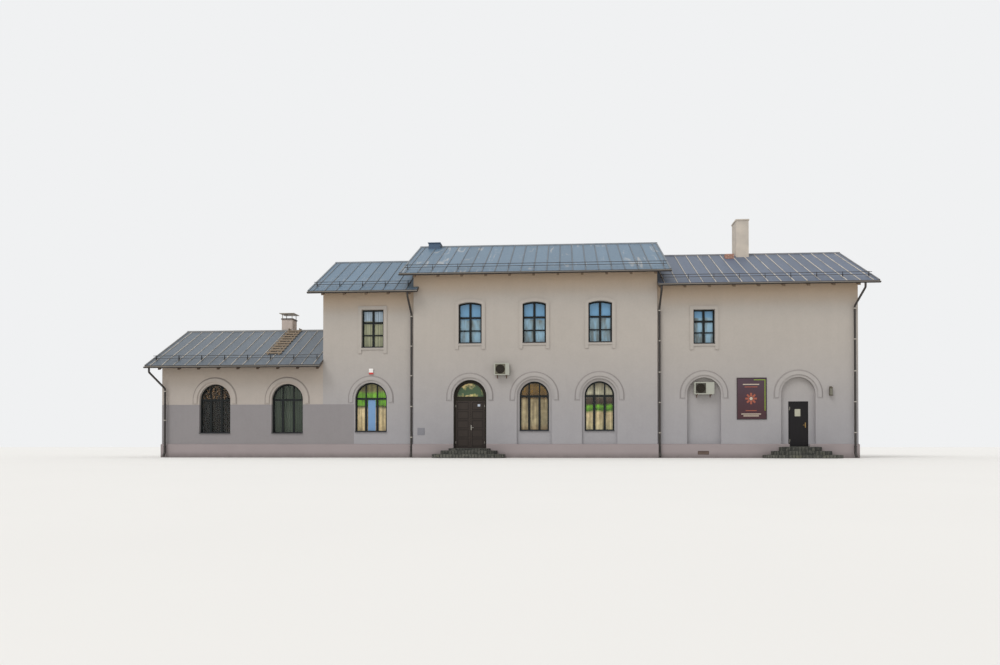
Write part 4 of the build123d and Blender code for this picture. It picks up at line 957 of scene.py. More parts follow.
# Where each reflection starts along X, its colours from sill to head, and how much they cover
MIRRORED = (
    (-7.19, ((0.0, (206, 184, 138)), (0.47, (208, 190, 146)), (0.52, (84, 84, 48)), (0.56, (112, 172, 48)),
             (0.76, (118, 176, 54)), (0.82, (132, 128, 84)), (1.0, (122, 116, 70))), 0.80),
    (0.0, ((0.0, (146, 120, 86)), (0.20, (180, 166, 130)), (0.62, (166, 150, 114)), (0.68, (108, 82, 44)),
           (0.86, (136, 108, 58)), (1.0, (98, 76, 42))), 0.74),
    (3.2, ((0.0, (196, 186, 144)), (0.38, (206, 186, 142)), (0.43, (76, 116, 40)), (0.50, (112, 170, 52)),
           (0.55, (66, 52, 38)), (0.64, (92, 80, 66)), (0.74, (190, 186, 160)), (1.0, (96, 84, 58))), 0.78),
)
LEAF_REFLECTION_BROWN = tint(158, 122, 80)
BLIND_BLUE = tint(126, 166, 210)
CLOUD_REFLECTION_DULL = tint(122, 134, 134)
CLOUD_REFLECTION_BRIGHT = tint(156, 194, 216)
NET_SUNLIT = tint(150, 152, 124)
NET_HIGH = tint(160, 178, 192)
WARM_SAND = tint(206, 184, 128)
MOSSY_SAND = tint(150, 150, 90)
DEEP_GREEN = tint(62, 84, 56)
STAIN_WORN = tint(38, 42, 42)
SASH_GRAIN = (12.0, 12.0, 1.5)
SILL_GREY = (tint(46, 47, 50), tint(110, 108, 106))
RAIL_STEEL = (tint(150, 150, 148), tint(190, 190, 186))
CURTAIN_OFF_GLASS = 0.31
CURTAIN_DEPTH = 0.030
CURTAIN_SPARE = 0.14
FOLD_STEPS = 8
SLOW_WAVE = 0.37
SLOW_SHARE = 0.3
HEM_DEPTH = 1.15
HEAD_LESS = 0.35
RAIL_RADIUS = 0.012
RAIL_OVER = 0.06
RAIL_ARM = 0.10
ARM_RADIUS = 0.8 * RAIL_RADIUS
WHOLE_WIDTH = ((0.0, 1.0),)
BOTH_SIDES = ((0.0, 0.36), (0.64, 1.0))


class Window:
    """One pane's place, read from the frame: its middle, its width and its way in."""

    def __init__(self, low, high):
        self.low = low
        self.high = high
        size = high - low
        self.on_long_side = size.x > size.y
        middle = (low + high) / 2
        self.middle = middle
        if self.on_long_side:
            self.width = size.x
            self.inward = Vector((0, 1 if middle.y < 0 else -1, 0))
            self.along = Vector((1, 0, 0))
        else:
            self.width = size.y
            self.inward = Vector((1 if middle.x < 0 else -1, 0, 0))
            self.along = Vector((0, 1, 0))

    @property
    def at_front(self):
        """Whether the window is in a front wall."""
        return self.on_long_side and self.middle.y < 0


GROUND_WINDOWS = [Window(*pair) for pair in solids("ground_window_glass")]
UPPER_WINDOWS = [Window(*pair) for pair in solids("upper_window_glass")]


def leaf_reflection_share(coat, x, z, front):
    """Painted reflection of warm leaves in the first window, more of it above its transom."""
    leaf_reflection = coat.step(coat.noise(11.0, 3.0, roughness=0.7), 0.50, 0.60) * coat.until(x, FIRST_END) * front
    return leaf_reflection * (0.12 + 0.72 * coat.step(z, *FIRST_TRANSOM))


def upper_panes(coat, look, x, z):
    """Painted reflections of drifting cloud and sky in the upper panes, and sunlit nets behind the ones on
    the left, with painted light and shade on their folds.
    """
    top = coat.step(z, *UPPER_TRANSOM)
    drift = coat.step(coat.streaks(3.4, 3.4, 0.8, 3.0), 0.34, 0.62)
    # Painted reflection of cloud and sky.
    clouds = coat.mix(top, coat.mix(drift, CLOUD_REFLECTION_DULL, CLOUD_REFLECTION_BRIGHT), look.sky)
    # Painted light and shade on the folds of the nets.
    folds = coat.step(coat.streaks(16.0, 16.0, 0.3, 2.0), 0.38, 0.62)
    nets = coat.tone(coat.mix(top, NET_SUNLIT, NET_HIGH), 0.90 + 0.56 * folds)
    return coat.mix(coat.until(x, UPPER_NET_END), clouds, nets)


def glass_finish(look):
    """Old panes. The front ones mirror soft sunlit bands, each window its own part of them."""
    coat = Finish("window_glass")
    x = coat.axis("X")
    z = coat.axis("Z") + 0.22 * (coat.noise(1.3, 2.0) - 0.5)
    front = coat.fall(coat.axis("Y"), -1.0, 0.0)
    uneven = coat.noise(0.9, 2.0)
    small = coat.noise(5.0, 4.0)
    bands = coat.step(coat.streaks(9.0, 9.0, 0.5, 2.0), 0.42, 0.60)
    # Painted reflection of leaves in the first window.
    leaf_reflection = leaf_reflection_share(coat, x, z, front)
    colour = coat.mix(leaf_reflection, coat.tone(look.glass, 0.8 + 0.4 * uneven), LEAF_REFLECTION_BROWN)
    cover = PANE_COVER + 0.35 * leaf_reflection
    heights = {"Value": z, "From Min": GROUND_SILL, "From Max": GROUND_HEAD}
    level = coat.node("ShaderNodeMapRange", {}, heights)
    # Painted reflections laid into the glass colour, each window its own bands.
    for start, stops, share in MIRRORED:
        here = coat.past(x, start) * front
        ramp = coat.node("ShaderNodeValToRGB", {"stops": [(at, tint(*rgb)) for at, rgb in stops]}, {0: level})
        toned = coat.tone(ramp, (0.42 + 1.16 * small) * (0.72 + 0.48 * bands))
        colour = coat.mix(here, colour, toned)
        cover = cover * (1 - here) + share * here
    blind = coat.between(x, BLIND_AT - BLIND_HALF, BLIND_AT + BLIND_HALF) * front
    blind = blind * coat.between(coat.axis("Z"), GROUND_SILL, BLIND_TOP)
    colour = coat.mix(blind, colour, coat.tone(BLIND_BLUE, 0.92 + 0.16 * small))
    high = coat.step(z, *UPPER_FROM)
    colour = coat.mix(high, colour, coat.tone(upper_panes(coat, look, x, z), 0.88 + 0.24 * uneven))
    cover = cover * (1 - high) + UPPER_COVER * high
    rough = 0.04 + 0.05 * coat.noise(4.0)
    return coat.surface(colour, rough, coat.noise(1.2, 1.0), 0.004, Alpha=cover, IOR=1.5)


def fanlight_finish():
    """The light over the main door, which mirrors warm and deep green patches."""
    coat = Finish("fanlight_glass")
    # Painted reflections of warm and deep green patches.
    patches = coat.noise(1.6, 3.0)
    warm = coat.mix(coat.step(coat.noise(7.0, 3.0), 0.45, 0.6), WARM_SAND, MOSSY_SAND)
    colour = coat.mix(coat.step(patches, 0.46, 0.56), warm, DEEP_GREEN)
    colour = coat.tone(colour, 1.02 + 0.55 * coat.noise(4.0))
    return coat.surface(colour, 0.05, patches, 0.002, Alpha=0.88)


def cloth_finish(name, colour):
    """Hung cloth with a fine weave and soft shading in its folds."""
    coat = Finish(name)
    weave = coat.noise(220.0, 2.0)
    toned = coat.tone(colour, 0.40 + 1.05 * coat.streaks(11.0, 11.0, 0.25, 2.0) + 0.08 * weave)
    return coat.surface(toned, 0.9, weave, 0.001, Sheen_Weight=0.2)


def curtain(name, window, leaves, finish, look):
    """Gathered cloth behind one window. Leaves are the shares of the width that each covers."""
    shape = Shape()
    start = window.middle - window.along * (window.width / 2 + CURTAIN_SPARE)
    full = window.width + 2 * CURTAIN_SPARE
    low = window.low.z - CURTAIN_SPARE
    drop = window.high.z + CURTAIN_SPARE - low
    for left, right in leaves:
        width = full * (right - left)
        folds = max(round(width / look.fold), 1)
        made = bmesh.ops.create_grid(shape.mesh, x_segments=folds * FOLD_STEPS, y_segments=2, size=0.5)
        for vert in made["verts"]:
            across = vert.co.x + 0.5
            up = vert.co.y + 0.5
            turn = math.tau * folds * across
            wave = math.sin(turn) + SLOW_SHARE * math.sin(SLOW_WAVE * turn)
            depth = CURTAIN_DEPTH * wave * (HEM_DEPTH - HEAD_LESS * up)
            place = start + window.along * (full * left + width * across)
            place += window.inward * (CURTAIN_OFF_GLASS + depth)
            vert.co = Vector((place.x, place.y, low + drop * up))
    area = sum(face.calc_area() for face in shape.mesh.faces)
    piece = shape.keep(name, finish, "white_plastic", closed=False, smooth=True)
    area / drop


def curtain_rails(windows, finish):
    """A rod above every curtain, on two arms from the wall."""
    shape = Shape()
    for window in windows:
        line = window.middle + window.inward * CURTAIN_OFF_GLASS
        middle = Vector((line.x, line.y, window.high.z + CURTAIN_SPARE))
        half = window.along * (window.width / 2 + CURTAIN_SPARE + RAIL_OVER)
        shape.rod(middle - half, middle + half, RAIL_RADIUS, TUBE_SIDES)
        for end in (middle - half, middle + half):
            shape.rod(end, end - window.inward * RAIL_ARM, ARM_RADIUS, BAR_SIDES)
    shape.keep("curtain_rails", finish, "handle_metal", smooth=True)


class STATION_OT_windows(bpy.types.Operator):
    """Finish the window frames, glass and sills"""

    bl_idname = "station.windows"
    bl_label = "Windows"

    def execute(self, context):
        look = context.scene.station_joinery
        frames = timber_finish("window_stain", look.window, STAIN_WORN, SASH_GRAIN)
        dress(frames, "ground_window_frames", "upper_window_frames")
        dress(glass_finish(look), "ground_window_glass", "upper_window_glass")
        dress(fanlight_finish(), "fanlight_glass")
        dress(coated_finish("sill_coating", *SILL_GREY), "window_sills")
        return {"FINISHED"}


class STATION_OT_curtains(bpy.types.Operator):
    """Hang a curtain behind each window"""

    bl_idname = "station.curtains"
    bl_label = "Curtains"

    def execute(self, context):
        look = context.scene.station_joinery
        metal = coated_finish("rail_steel", *RAIL_STEEL, rough=0.3)
        curtain_rails(GROUND_WINDOWS + UPPER_WINDOWS, metal)
        cream = cloth_finish("cream_cloth", look.cream)
        net = cloth_finish("net_cloth", look.net)
        green = cloth_finish("green_cloth", look.green)
        brown = cloth_finish("brown_net", look.brown)
        front = [(brown, WHOLE_WIDTH), (green, WHOLE_WIDTH)] + 3 * [(cream, BOTH_SIDES)]
        for index, window in enumerate(GROUND_WINDOWS):
            finish, leaves = front.pop(0) if window.at_front else (cream, WHOLE_WIDTH)
            curtain(f"ground_curtain_{index + 1}", window, leaves, finish, look)
        for index, window in enumerate(UPPER_WINDOWS):
            curtain(f"upper_curtain_{index + 1}", window, WHOLE_WIDTH, net, look)
        return {"FINISHED"}


# Doors

NOTICE_THICKNESS = 0.002
NOTICE_RIM = 0.006
CARD_EDGE = 0.0006
MAIN_NOTICE = (0.112, 0.098)
MAIN_NOTICE_FOOT = 2.50
MAIN_NOTICE_ASIDE = 0.06
SIDE_NOTICE = (0.25, 0.33)
SIDE_NOTICE_FOOT = 1.99
SIDE_NOTICE_ASIDE = -0.03
HINGE_INSET = 0.010
HINGE_REACH = 0.034
HINGE_PROUD = 0.003
FRAME_BEHIND = 0.008
RING_WIDTH = 0.085
RING_LAP = 0.020
RING_PROUD = 0.012
RING_BEAD = 0.45 * RING_WIDTH
RING_RAIL = 0.4 * RING_WIDTH
RING_EDGE = 0.004
GROOVE_FROM = HINGE_PROUD + 0.0108
GROOVE_TO = HINGE_PROUD + 0.0135
SIDE_DOOR_FROM = (6.0, 7.0)
BARREL_GREY = tint(128, 124, 116)
SATIN_STEEL = tint(156, 152, 144)
OLD_BRASS = tint(150, 122, 76)
MAIN_DOOR_PALE = tint(64, 56, 50)
SIDE_DOOR_PALE = tint(38, 34, 36)
FRAME_STAIN = (tint(38, 35, 28), tint(50, 46, 38))
FRAME_GRAIN = (12.0, 12.0, 2.0)
CARD_WHITE = tint(188, 196, 208)
CARD_CREAM = tint(176, 174, 156)


def door_finish(name, colour, pale, hinge_lines, metal_front):
    """Stained wood or paint, with bare metal on the hinge barrels, and dust and painted shade in the sunk
    channels.
    """
    coat = Finish(name)
    x = coat.axis("X")
    y = coat.axis("Y")
    lines = coat.streaks(16.0, 16.0, 1.3, 6.0, 0.6)
    toned = coat.mix(0.6 * lines, colour, pale)
    toned = coat.tone(toned, 0.86 + 0.25 * coat.noise(1.8, 3.0))
    on_hinge = sum(coat.until(coat.size(x - line), HINGE_REACH) for line in hinge_lines)
    barrel = coat.until(y, metal_front) * on_hinge
    toned = coat.mix(barrel, toned, BARREL_GREY)
    # Dust and painted shade darken the sunk channel round the panels.
    groove_dust_and_shade = coat.between(y, metal_front + GROOVE_FROM, metal_front + GROOVE_TO, 0.0008)
    toned = coat.tone(toned, 1 - 0.62 * groove_dust_and_shade)
    rough = 0.46 + 0.14 * lines - 0.15 * barrel
    return coat.surface(toned, rough, lines, 0.0015, Specular_IOR_Level=LOW_GLOSS)


def handle_finish():
    """Satin steel on the main door and brass on the side door."""
    coat = Finish("door_metal")
    colour = coat.mix(coat.step(coat.axis("X"), *SIDE_DOOR_FROM), SATIN_STEEL, OLD_BRASS)
    return coat.surface(colour, 0.24 + 0.12 * coat.noise(30.0), coat.noise(90.0), 0.0004, Metallic=0.85)


def notice(name, x, z, size, face, finish, body):
    """A bare card in a thin holder on a door's face, from its lower left corner."""
    width, height = size
    holder = face - 2 * NOTICE_THICKNESS
    left = x - NOTICE_RIM
    right = x + width + NOTICE_RIM
    shape = Shape()
    shape.block((x, face - NOTICE_THICKNESS, z), (x + width, face, z + height), CARD_EDGE)
    for foot in (z - NOTICE_RIM, z + height):
        shape.block((left, holder, foot), (right, face, foot + NOTICE_RIM), SHEET_EDGE)
    for side in (left, x + width):
        shape.block((side, holder, z), (side + NOTICE_RIM, face, z + height), SHEET_EDGE)
    shape.keep(name, finish, "white_plastic", body)


def paper_finish(name, colour):
    """A card behind clear film."""
    coat = Finish(name)
    faded = coat.tone(colour, 0.94 + 0.1 * coat.noise(9.0))
    return coat.surface(faded, 0.35 + 0.1 * coat.noise(20.0), coat.noise(60.0), 0.0003)


def fanlight_ring(finish):
    """A deep moulded ring round the light over the main door, with its bottom rail."""
    low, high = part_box("fanlight_glass")
    frame_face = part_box("main_door_handle")[1].y + FRAME_BEHIND
    front = frame_face - RING_PROUD
    rear = low.y - TINY
    radius = (high.x - low.x) / 2
    centre = ((low.x + high.x) / 2, frame_face, high.z - radius)
    shape = Shape()
    shape.arc(centre, radius - RING_WIDTH, radius + RING_LAP, front, rear)
    shape.arc(centre, radius - RING_BEAD, radius + RING_LAP, front - RING_PROUD, frame_face)
    shape.block((low.x - RING_LAP, front, low.z - RING_LAP),
                (high.x + RING_LAP, rear, low.z + RING_RAIL), RING_EDGE)
    shape.keep("fanlight_ring", finish, "door_timber")


class STATION_OT_doors(bpy.types.Operator):
    """Finish both doors and hang their bare notices"""

    bl_idname = "station.doors"
    bl_label = "Doors"

    def execute(self, context):
        look = context.scene.station_joinery
        left_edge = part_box("main_door_left_leaf")[0].x
        low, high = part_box("main_door_right_leaf")
        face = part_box("main_door_handle")[1].y
        hinges = (left_edge + HINGE_INSET, high.x - HINGE_INSET)
        main = door_finish("main_door_wood", look.door, MAIN_DOOR_PALE, hinges, face - HINGE_PROUD)
        dress(main, "main_door_left_leaf", "main_door_right_leaf")
        stain = timber_finish("main_frame_stain", *FRAME_STAIN, FRAME_GRAIN)
        dress(stain, "main_door_frame")
        fanlight_ring(stain)
        card = paper_finish("notice_white", CARD_WHITE)
        x = (low.x + high.x - MAIN_NOTICE[0]) / 2 + MAIN_NOTICE_ASIDE
        notice("main_door_notice", x, MAIN_NOTICE_FOOT, MAIN_NOTICE, face, card, "main_right_leaf")
        low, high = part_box("side_door_leaf")
        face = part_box("side_door_handle")[1].y
        hinges = (low.x + HINGE_INSET,)
        side = door_finish("side_door_paint", look.steel, SIDE_DOOR_PALE, hinges, face - HINGE_PROUD)
        dress(side, "side_door_leaf", "side_door_frame")
        dress(handle_finish(), "main_door_handle", "side_door_handle")
        card = paper_finish("notice_cream", CARD_CREAM)
        x = (low.x + high.x - SIDE_NOTICE[0]) / 2 + SIDE_NOTICE_ASIDE
        notice("side_door_notice", x, SIDE_NOTICE_FOOT, SIDE_NOTICE, face, card, "side_leaf")
        return {"FINISHED"}


# Steps

MORTAR_SETBACK = 0.012
STONE_SINK = 0.002
STONE_UNEVEN = 0.010
STONE_NARROWER = 0.006
STONE_LEAN = 0.03
STONE_ROUND = 0.014
STONE_DEEP = 0.08
CORNER_SHRINK = 2 - math.sqrt(2)
STEP_CORNER = 0.42
STEP_DEPTHS = (1.33, 0.99, 0.65)
MAIN_HALVES = (1.73, 1.36, 1.02)
SIDE_HALVES = (1.74, 1.35, 0.98)
MAIN_TREADS = (0.190, 0.360, 0.465)
SIDE_TREADS = (0.155, 0.340, 0.535)
PLINTH_REACH = 0.045
THRESHOLD = 0.11
THRESHOLD_LIP = 0.004
THRESHOLD_EDGE = 0.006
MORTAR_GRAIN = (20.0, 20.0, 20.0)
MOSS = tint(108, 108, 82)


def stone_finish(name, look):
    """Granite cobbles, each its own tone, speckled and worn, with a painted highlight on their tops."""
    coat = Finish(name)
    cells = coat.node("ShaderNodeTexVoronoi", {}, {"Vector": coat.place, "Scale": 7.0}, "Color")
    speckle = coat.noise(40.0, 4.0, roughness=0.7)
    colour = coat.mix(coat.axis("X", cells) * (0.45 + 0.9 * speckle), look.dark, look.stone)
    # Painted highlight: faces that look up are lighter.
    colour = coat.tone(colour, 0.72 + 0.30 * speckle + 0.12 * coat.upward(0.4, 0.9))
    moss = coat.step(coat.noise(1.6, 4.0), 0.56, 0.75)
    colour = coat.mix(0.35 * moss, colour, MOSS)
    return coat.surface(colour, 0.72 + 0.2 * speckle, speckle, 0.004)


def step_outline(half, depth, inset):
    """A tread's half-octagon, inset from its edge, from the wall round to the wall, as x and depth."""
    half -= inset
    depth -= inset
    corner = STEP_CORNER - CORNER_SHRINK * inset
    right = [(half - corner, depth), (half, depth - corner), (half, PLINTH_REACH)]
    return [(-x, d) for x, d in right[::-1]] + right


def stone_row(shape, look, place, path, z0, z1, chance):
    """One row of cobbles along a path, each a little uneven."""
    x_door, y_front = place
    for (x0, d0), (x1, d1) in zip(path, path[1:]):
        run = math.hypot(x1 - x0, d1 - d0)
        if run < look.pitch / 2:
            continue
        count = max(round(run / look.pitch), 1)
        turn = Matrix.Rotation(math.atan2(d0 - d1, x1 - x0), 4, "Z")
        long = run / count - look.joint
        for index in range(count):
            share = (index + 0.5) / count
            x = x_door + x0 + (x1 - x0) * share
            y = y_front - d0 - (d1 - d0) * share
            top = z1 - STONE_SINK - chance.random() * STONE_UNEVEN
            lean = Matrix.Rotation(chance.uniform(-STONE_LEAN, STONE_LEAN), 4, "Z")
            spot = Matrix.Translation((x, y, 0)) @ turn @ lean
            wide = look.row - look.joint - chance.random() * STONE_NARROWER
            shape.block((-long / 2, -wide / 2, z0), (long / 2, wide / 2, top), STONE_ROUND, spot)


def flight(place, halves, treads, look, chance):
    """Cobbled steps: rows of stones round each tread over a mortar bed."""
    stones = Shape()
    bed = Shape()
    floor = 0.0
    inners = (*STEP_DEPTHS[1:], PLINTH_REACH)
    for half, depth, inner, top in zip(halves, STEP_DEPTHS, inners, treads):
        for row in range(math.ceil((depth - inner) / look.row)):
            path = step_outline(half, depth, (row + 0.5) * look.row)
            low = floor if row == 0 else max(top - STONE_DEEP, floor)
            stone_row(stones, look, place, path, low, top, chance)
        corners = step_outline(half, depth, MORTAR_SETBACK)
        outline = [(place[0] + x, place[1] - d, floor) for x, d in corners]
        bed.prism(outline, (0, 0, top - MORTAR_SETBACK - floor))
        floor = top - MORTAR_SETBACK
    return stones, bed


def threshold(shape, x0, x1, front, rear, top):
    """A dressed slab in the doorway's foot, on its bed."""
    shape.block((x0, front, top - THRESHOLD), (x1, rear, top), THRESHOLD_EDGE)
    shape.block((x0, front + THRESHOLD_LIP, 0), (x1, rear, top - THRESHOLD))


class STATION_OT_steps(bpy.types.Operator):
    """Lay the cobbled steps and thresholds at both doors"""

    bl_idname = "station.steps"
    bl_label = "Steps"

    def execute(self, context):
        look = context.scene.station_stone
        chance = random.Random(SEED)
        cobble = stone_finish("cobble_granite", look)
        mortar = timber_finish("step_mortar", look.dark, look.mortar, MORTAR_GRAIN)
        flights = (("main_steps", "c_front_wall_over_door", MAIN_HALVES, MAIN_TREADS),
                   ("side_steps", "d_front_wall_over_door", SIDE_HALVES, SIDE_TREADS))
        for name, wall_node, halves, treads in flights:
            low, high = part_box(name)
            door_low, door_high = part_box(wall_node)
            place = ((low.x + high.x) / 2, door_low.y)
            stones, bed = flight(place, halves, treads, look, chance)
            threshold(bed, door_low.x, door_high.x, door_low.y - PLINTH_REACH, high.y, high.z)
            stones.keep(name + "_cobbles", cobble, "step_stone", replaces=(name,))
            bed.keep(name + "_bed", mortar, "step_stone")
        return {"FINISHED"}


# Cooling units

FAN_CENTRE = 0.30
FAN_RADIUS = 0.22
FAN_HUB = 0.066
FAN_EDGE = ((FAN_RADIUS - 0.004) ** 2, (FAN_RADIUS + 0.001) ** 2)
PANEL_HALF = FAN_RADIUS + 0.025
OLD_UNIT_FROM = 7.0
WIRE = 0.0028
WIRE_PROUD = 0.004
OUTER_RING = FAN_RADIUS - 0.008
SPOKES = 12
SPOKE_FROM = 0.9 * FAN_HUB
BLADES = 5
BLADE_BEHIND = 0.015
BLADE_SWEEP = 0.35
BLADE_HALF_SHEET = 0.0015
BLADE_HALF_WIDTH = 0.045
BLADE_FROM = 0.8 * FAN_HUB
BLADE_TIP = FAN_RADIUS - 0.02
LEG_WIDTH = 0.045
LEG_DROP = 0.12
LEG_LAP = 0.02
LEG_SHEET = 0.006
CLIP_FROM = 0.03
CLIP_TO = 0.09
CLIP_FOOT = 0.018
CLIP_LAP = 0.004
LOUVRES = 7
LOUVRE_START = 0.65
LOUVRE_END = 0.05
LOUVRE_FOOT = 0.10
LOUVRE_PITCH = 0.055
LOUVRE_HEIGHT = 0.014
LOUVRE_SUNK = 0.004
# Height over the casing's foot and radius of each pipe
COOLING_PIPES = ((0.16, 0.012), (0.21, 0.009))
PIPE_INSET = Vector((-0.012, -0.06, 0))
PIPE_OUT = Vector((0.055, 0, 0))
PIPE_TO_WALL = Vector((0, 0.114, 0))
CASING_STAIN = tint(150, 140, 122)
CASING_DUST = tint(232, 230, 222)
BRACKET_RUST = (tint(98, 72, 58), tint(130, 104, 86))
PLASTIC_DUST = tint(96, 94, 88)
GUARD_WIRE = (tint(58, 54, 46), tint(110, 106, 96))


def unit_finish(look, fans):
    """Cream-white casings with dark fan recesses, each in a panel of older plastic."""
    coat = Finish("unit_casing")
    x = coat.axis("X")
    z = coat.axis("Z")
    recess = 0
    panel = 0
    for centre in fans:
        dx = x - centre.x
        dz = z - centre.z
        recess = recess + coat.fall(dx * dx + dz * dz, *FAN_EDGE)
        wide = coat.between(x, centre.x - PANEL_HALF, centre.x + PANEL_HALF)
        panel = panel + wide * coat.between(z, centre.z - PANEL_HALF, centre.z + PANEL_HALF)
    older = coat.mix(coat.past(x, OLD_UNIT_FROM), look.panel, look.grille)
    colour = coat.tone(look.unit, 0.90 + 0.12 * coat.noise(1.3, 4.0))
    colour = coat.mix(0.9 * panel, colour, older)
    stain = coat.streaks(12.0, 12.0, 1.2, 4.0)
    colour = coat.mix(0.25 * coat.step(stain, 0.55, 0.8), colour, CASING_STAIN)
    colour = coat.mix(recess, colour, look.grille)
    return coat.surface(colour, 0.42 + 0.1 * stain, coat.noise(120.0), 0.0004, Specular_IOR_Level=LOW_GLOSS)


def fan_guards(fans, look, finish):
    """Wire rings and spokes over each fan."""
    shape = Shape()
    for centre in fans:
        face = centre + Vector((0, WIRE_PROUD, 0))
        for ring in range(look.fan_rings):
            shape.hoop(face, FAN_HUB + (OUTER_RING - FAN_HUB) * (ring + 1) / look.fan_rings, WIRE)
        for index in range(SPOKES):
            angle = math.tau * index / SPOKES
            ray = Vector((math.cos(angle), 0, math.sin(angle)))
            shape.rod(face + ray * SPOKE_FROM, face + ray * FAN_RADIUS, WIRE, WIRE_SIDES)
    shape.keep("fan_guards", finish, "white_plastic", smooth=True)


def fan_blades(fans, finish):
    """Swept blades on each hub, behind the guard."""
    shape = Shape()
    low = (BLADE_FROM, -BLADE_HALF_SHEET, -BLADE_HALF_WIDTH)
    high = (BLADE_TIP, BLADE_HALF_SHEET, BLADE_HALF_WIDTH)
    for centre in fans:
        hub = Matrix.Translation(centre + Vector((0, BLADE_BEHIND, 0)))
        for index in range(BLADES):
            spin = Matrix.Rotation(math.tau * index / BLADES, 4, "Y") @ Matrix.Rotation(BLADE_SWEEP, 4, "Z")
            shape.block(low, high, SHEET_EDGE, hub @ spin)
    shape.keep("fan_blades", finish, "white_plastic")


def bracket_legs(finish):
    """Angle-iron legs of the brackets, flat against the wall below each arm, with a clip under the arm."""
    shape = Shape()
    for low, high in solids("ac_brackets"):
        left = (low.x + high.x - LEG_WIDTH) / 2
        right = left + LEG_WIDTH
        shape.block((left, high.y - LEG_SHEET, low.z - LEG_DROP),
                    (right, high.y - TINY, low.z + LEG_LAP), SHEET_EDGE)
        shape.block((left, low.y + CLIP_FROM, low.z - CLIP_FOOT),
                    (right, low.y + CLIP_TO, low.z + CLIP_LAP), EASED_EDGE)
    shape.keep("bracket_legs", finish, "dark_metal")


def unit_louvres(units, finish):
    """Thin louvres on the service end of each casing, and the two pipes to the wall behind it."""
    shape = Shape()
    for low, high in units:
        for index in range(LOUVRES):
            z = low.z + LOUVRE_FOOT + LOUVRE_PITCH * index
            shape.block((low.x + LOUVRE_START, low.y - TINY, z),
                        (high.x - LOUVRE_END, low.y + LOUVRE_SUNK, z + LOUVRE_HEIGHT), EASED_EDGE)
        for height, radius in COOLING_PIPES:
            start = Vector((high.x, high.y, low.z + height)) + PIPE_INSET
            elbow = start + PIPE_OUT
            shape.rod(start, elbow, radius, TUBE_SIDES)
            shape.rod(elbow - Vector((0, radius, 0)), elbow + PIPE_TO_WALL, radius, TUBE_SIDES)
    shape.keep("unit_louvres", finish, "white_plastic", smooth=True)


class STATION_OT_cooling(bpy.types.Operator):
    """Finish the cooling units and add their guards, blades and louvres"""

    bl_idname = "station.cooling"
    bl_label = "Cooling units"

    def execute(self, context):
        look = context.scene.station_fittings
        units = solids("ac_units")
        fans = [Vector((low.x + FAN_CENTRE, low.y, (low.z + high.z) / 2)) for low, high in units]
        dress(unit_finish(look, fans), "ac_units")
        rusty = coated_finish("bracket_coating", *BRACKET_RUST, rough=0.6)
        dress(rusty, "ac_brackets")
        bracket_legs(rusty)
        fan_guards(fans, look, coated_finish("guard_wire", *GUARD_WIRE, rough=0.5, gloss=LOW_GLOSS))
        fan_blades(fans, coated_finish("fan_plastic", look.grille, PLASTIC_DUST, rough=0.5, gloss=LOW_GLOSS))
        unit_louvres(units, coated_finish("unit_trim", look.unit, CASING_DUST))
        return {"FINISHED"}


# Sign and small fittings

SIGN_RIM = 0.036
SIGN_FIELD = 0.010
SIGN_FADE_FROM = 0.3
MOTIF_PROUD = 0.006
MOTIF_ASIDE = -0.03
# Each strip's distance below the sign's top, or above its foot as a negative, and its half length
CREAM_STRIPS = ((0.32, 0.38), (-0.26, 0.46), (-0.17, 0.36))
CREAM_HALF_HEIGHT = 0.022
WARM_STRIPS = ((0.44, 0.30), (-0.42, 0.26))
WARM_HALF_HEIGHT = 0.018
PETALS = 8
PETAL_FROM = 0.10
PETAL_TO = 0.27
PETAL_HALF = 0.045
ROSETTE_HEART = 0.075
LIME_WIDTH = 0.036
LIME_ASIDE = 0.027
LIME_DOWN = 0.05
LIME_FOOT = 0.42
LIME_RUN = 0.502
LAMP_GLASS_FOOT = 0.031
LAMP_GLASS_TOP = 0.071
LAMP_BACK = (-0.03, -0.02)
CAGE_BARS = 6
CAGE_RADIUS = 0.066
CAGE_WIRE = 0.0045
CAGE_FOOT = 0.028
CAGE_HEAD = 0.066
ALARM_LENS = (0.085, 0.088)
COVER_RIM = 0.022
VENT_WIDTH = 0.515
VENT_HEIGHT = 0.165
SLATS = 4
SLAT_FOOT = 0.035
SLAT_PITCH = 0.028
SLAT_LEAN = 0.5
SLAT_SHEET = 0.004
SLAT_DEPTH = 0.020
SLAT_SETBACK = 0.005
SIGN_EDGE = tint(48, 34, 38)
SIGN_CREAM = tint(196, 182, 164)
SIGN_WARM = tint(158, 84, 64)
LAMP_BROWN = (tint(70, 64, 54), tint(104, 94, 76))
LAMP_GLASS = tint(128, 126, 112)
LAMP_BARS = tint(74, 66, 56)
ALARM_WHITE = tint(238, 236, 232)
VENT_RIM_SHADE = tint(76, 60, 52)
VENT_FACE = tint(140, 124, 116)
HATCH_GREY = (tint(122, 122, 128), tint(134, 133, 138))
SLAT_BROWN = tint(112, 94, 84)


def sign_finish(look):
    """A maroon board with a darker rim."""
    coat = Finish("sign_face")
    low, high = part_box("sign_board")
    z = coat.axis("Z")
    field = coat.between(coat.axis("X"), low.x + SIGN_RIM, high.x - SIGN_RIM)
    field = field * coat.between(z, low.z + SIGN_RIM, high.z - SIGN_RIM)
    fade = coat.noise(1.4, 4.0)
    face = coat.mix(coat.step(z, low.z + SIGN_FADE_FROM, high.z), look.sign, look.sign_top)
    colour = coat.mix(field, SIGN_EDGE, coat.tone(face, 0.86 + 0.28 * fade))
    return coat.surface(colour, 0.36 + 0.16 * fade, coat.noise(50.0), 0.0006)


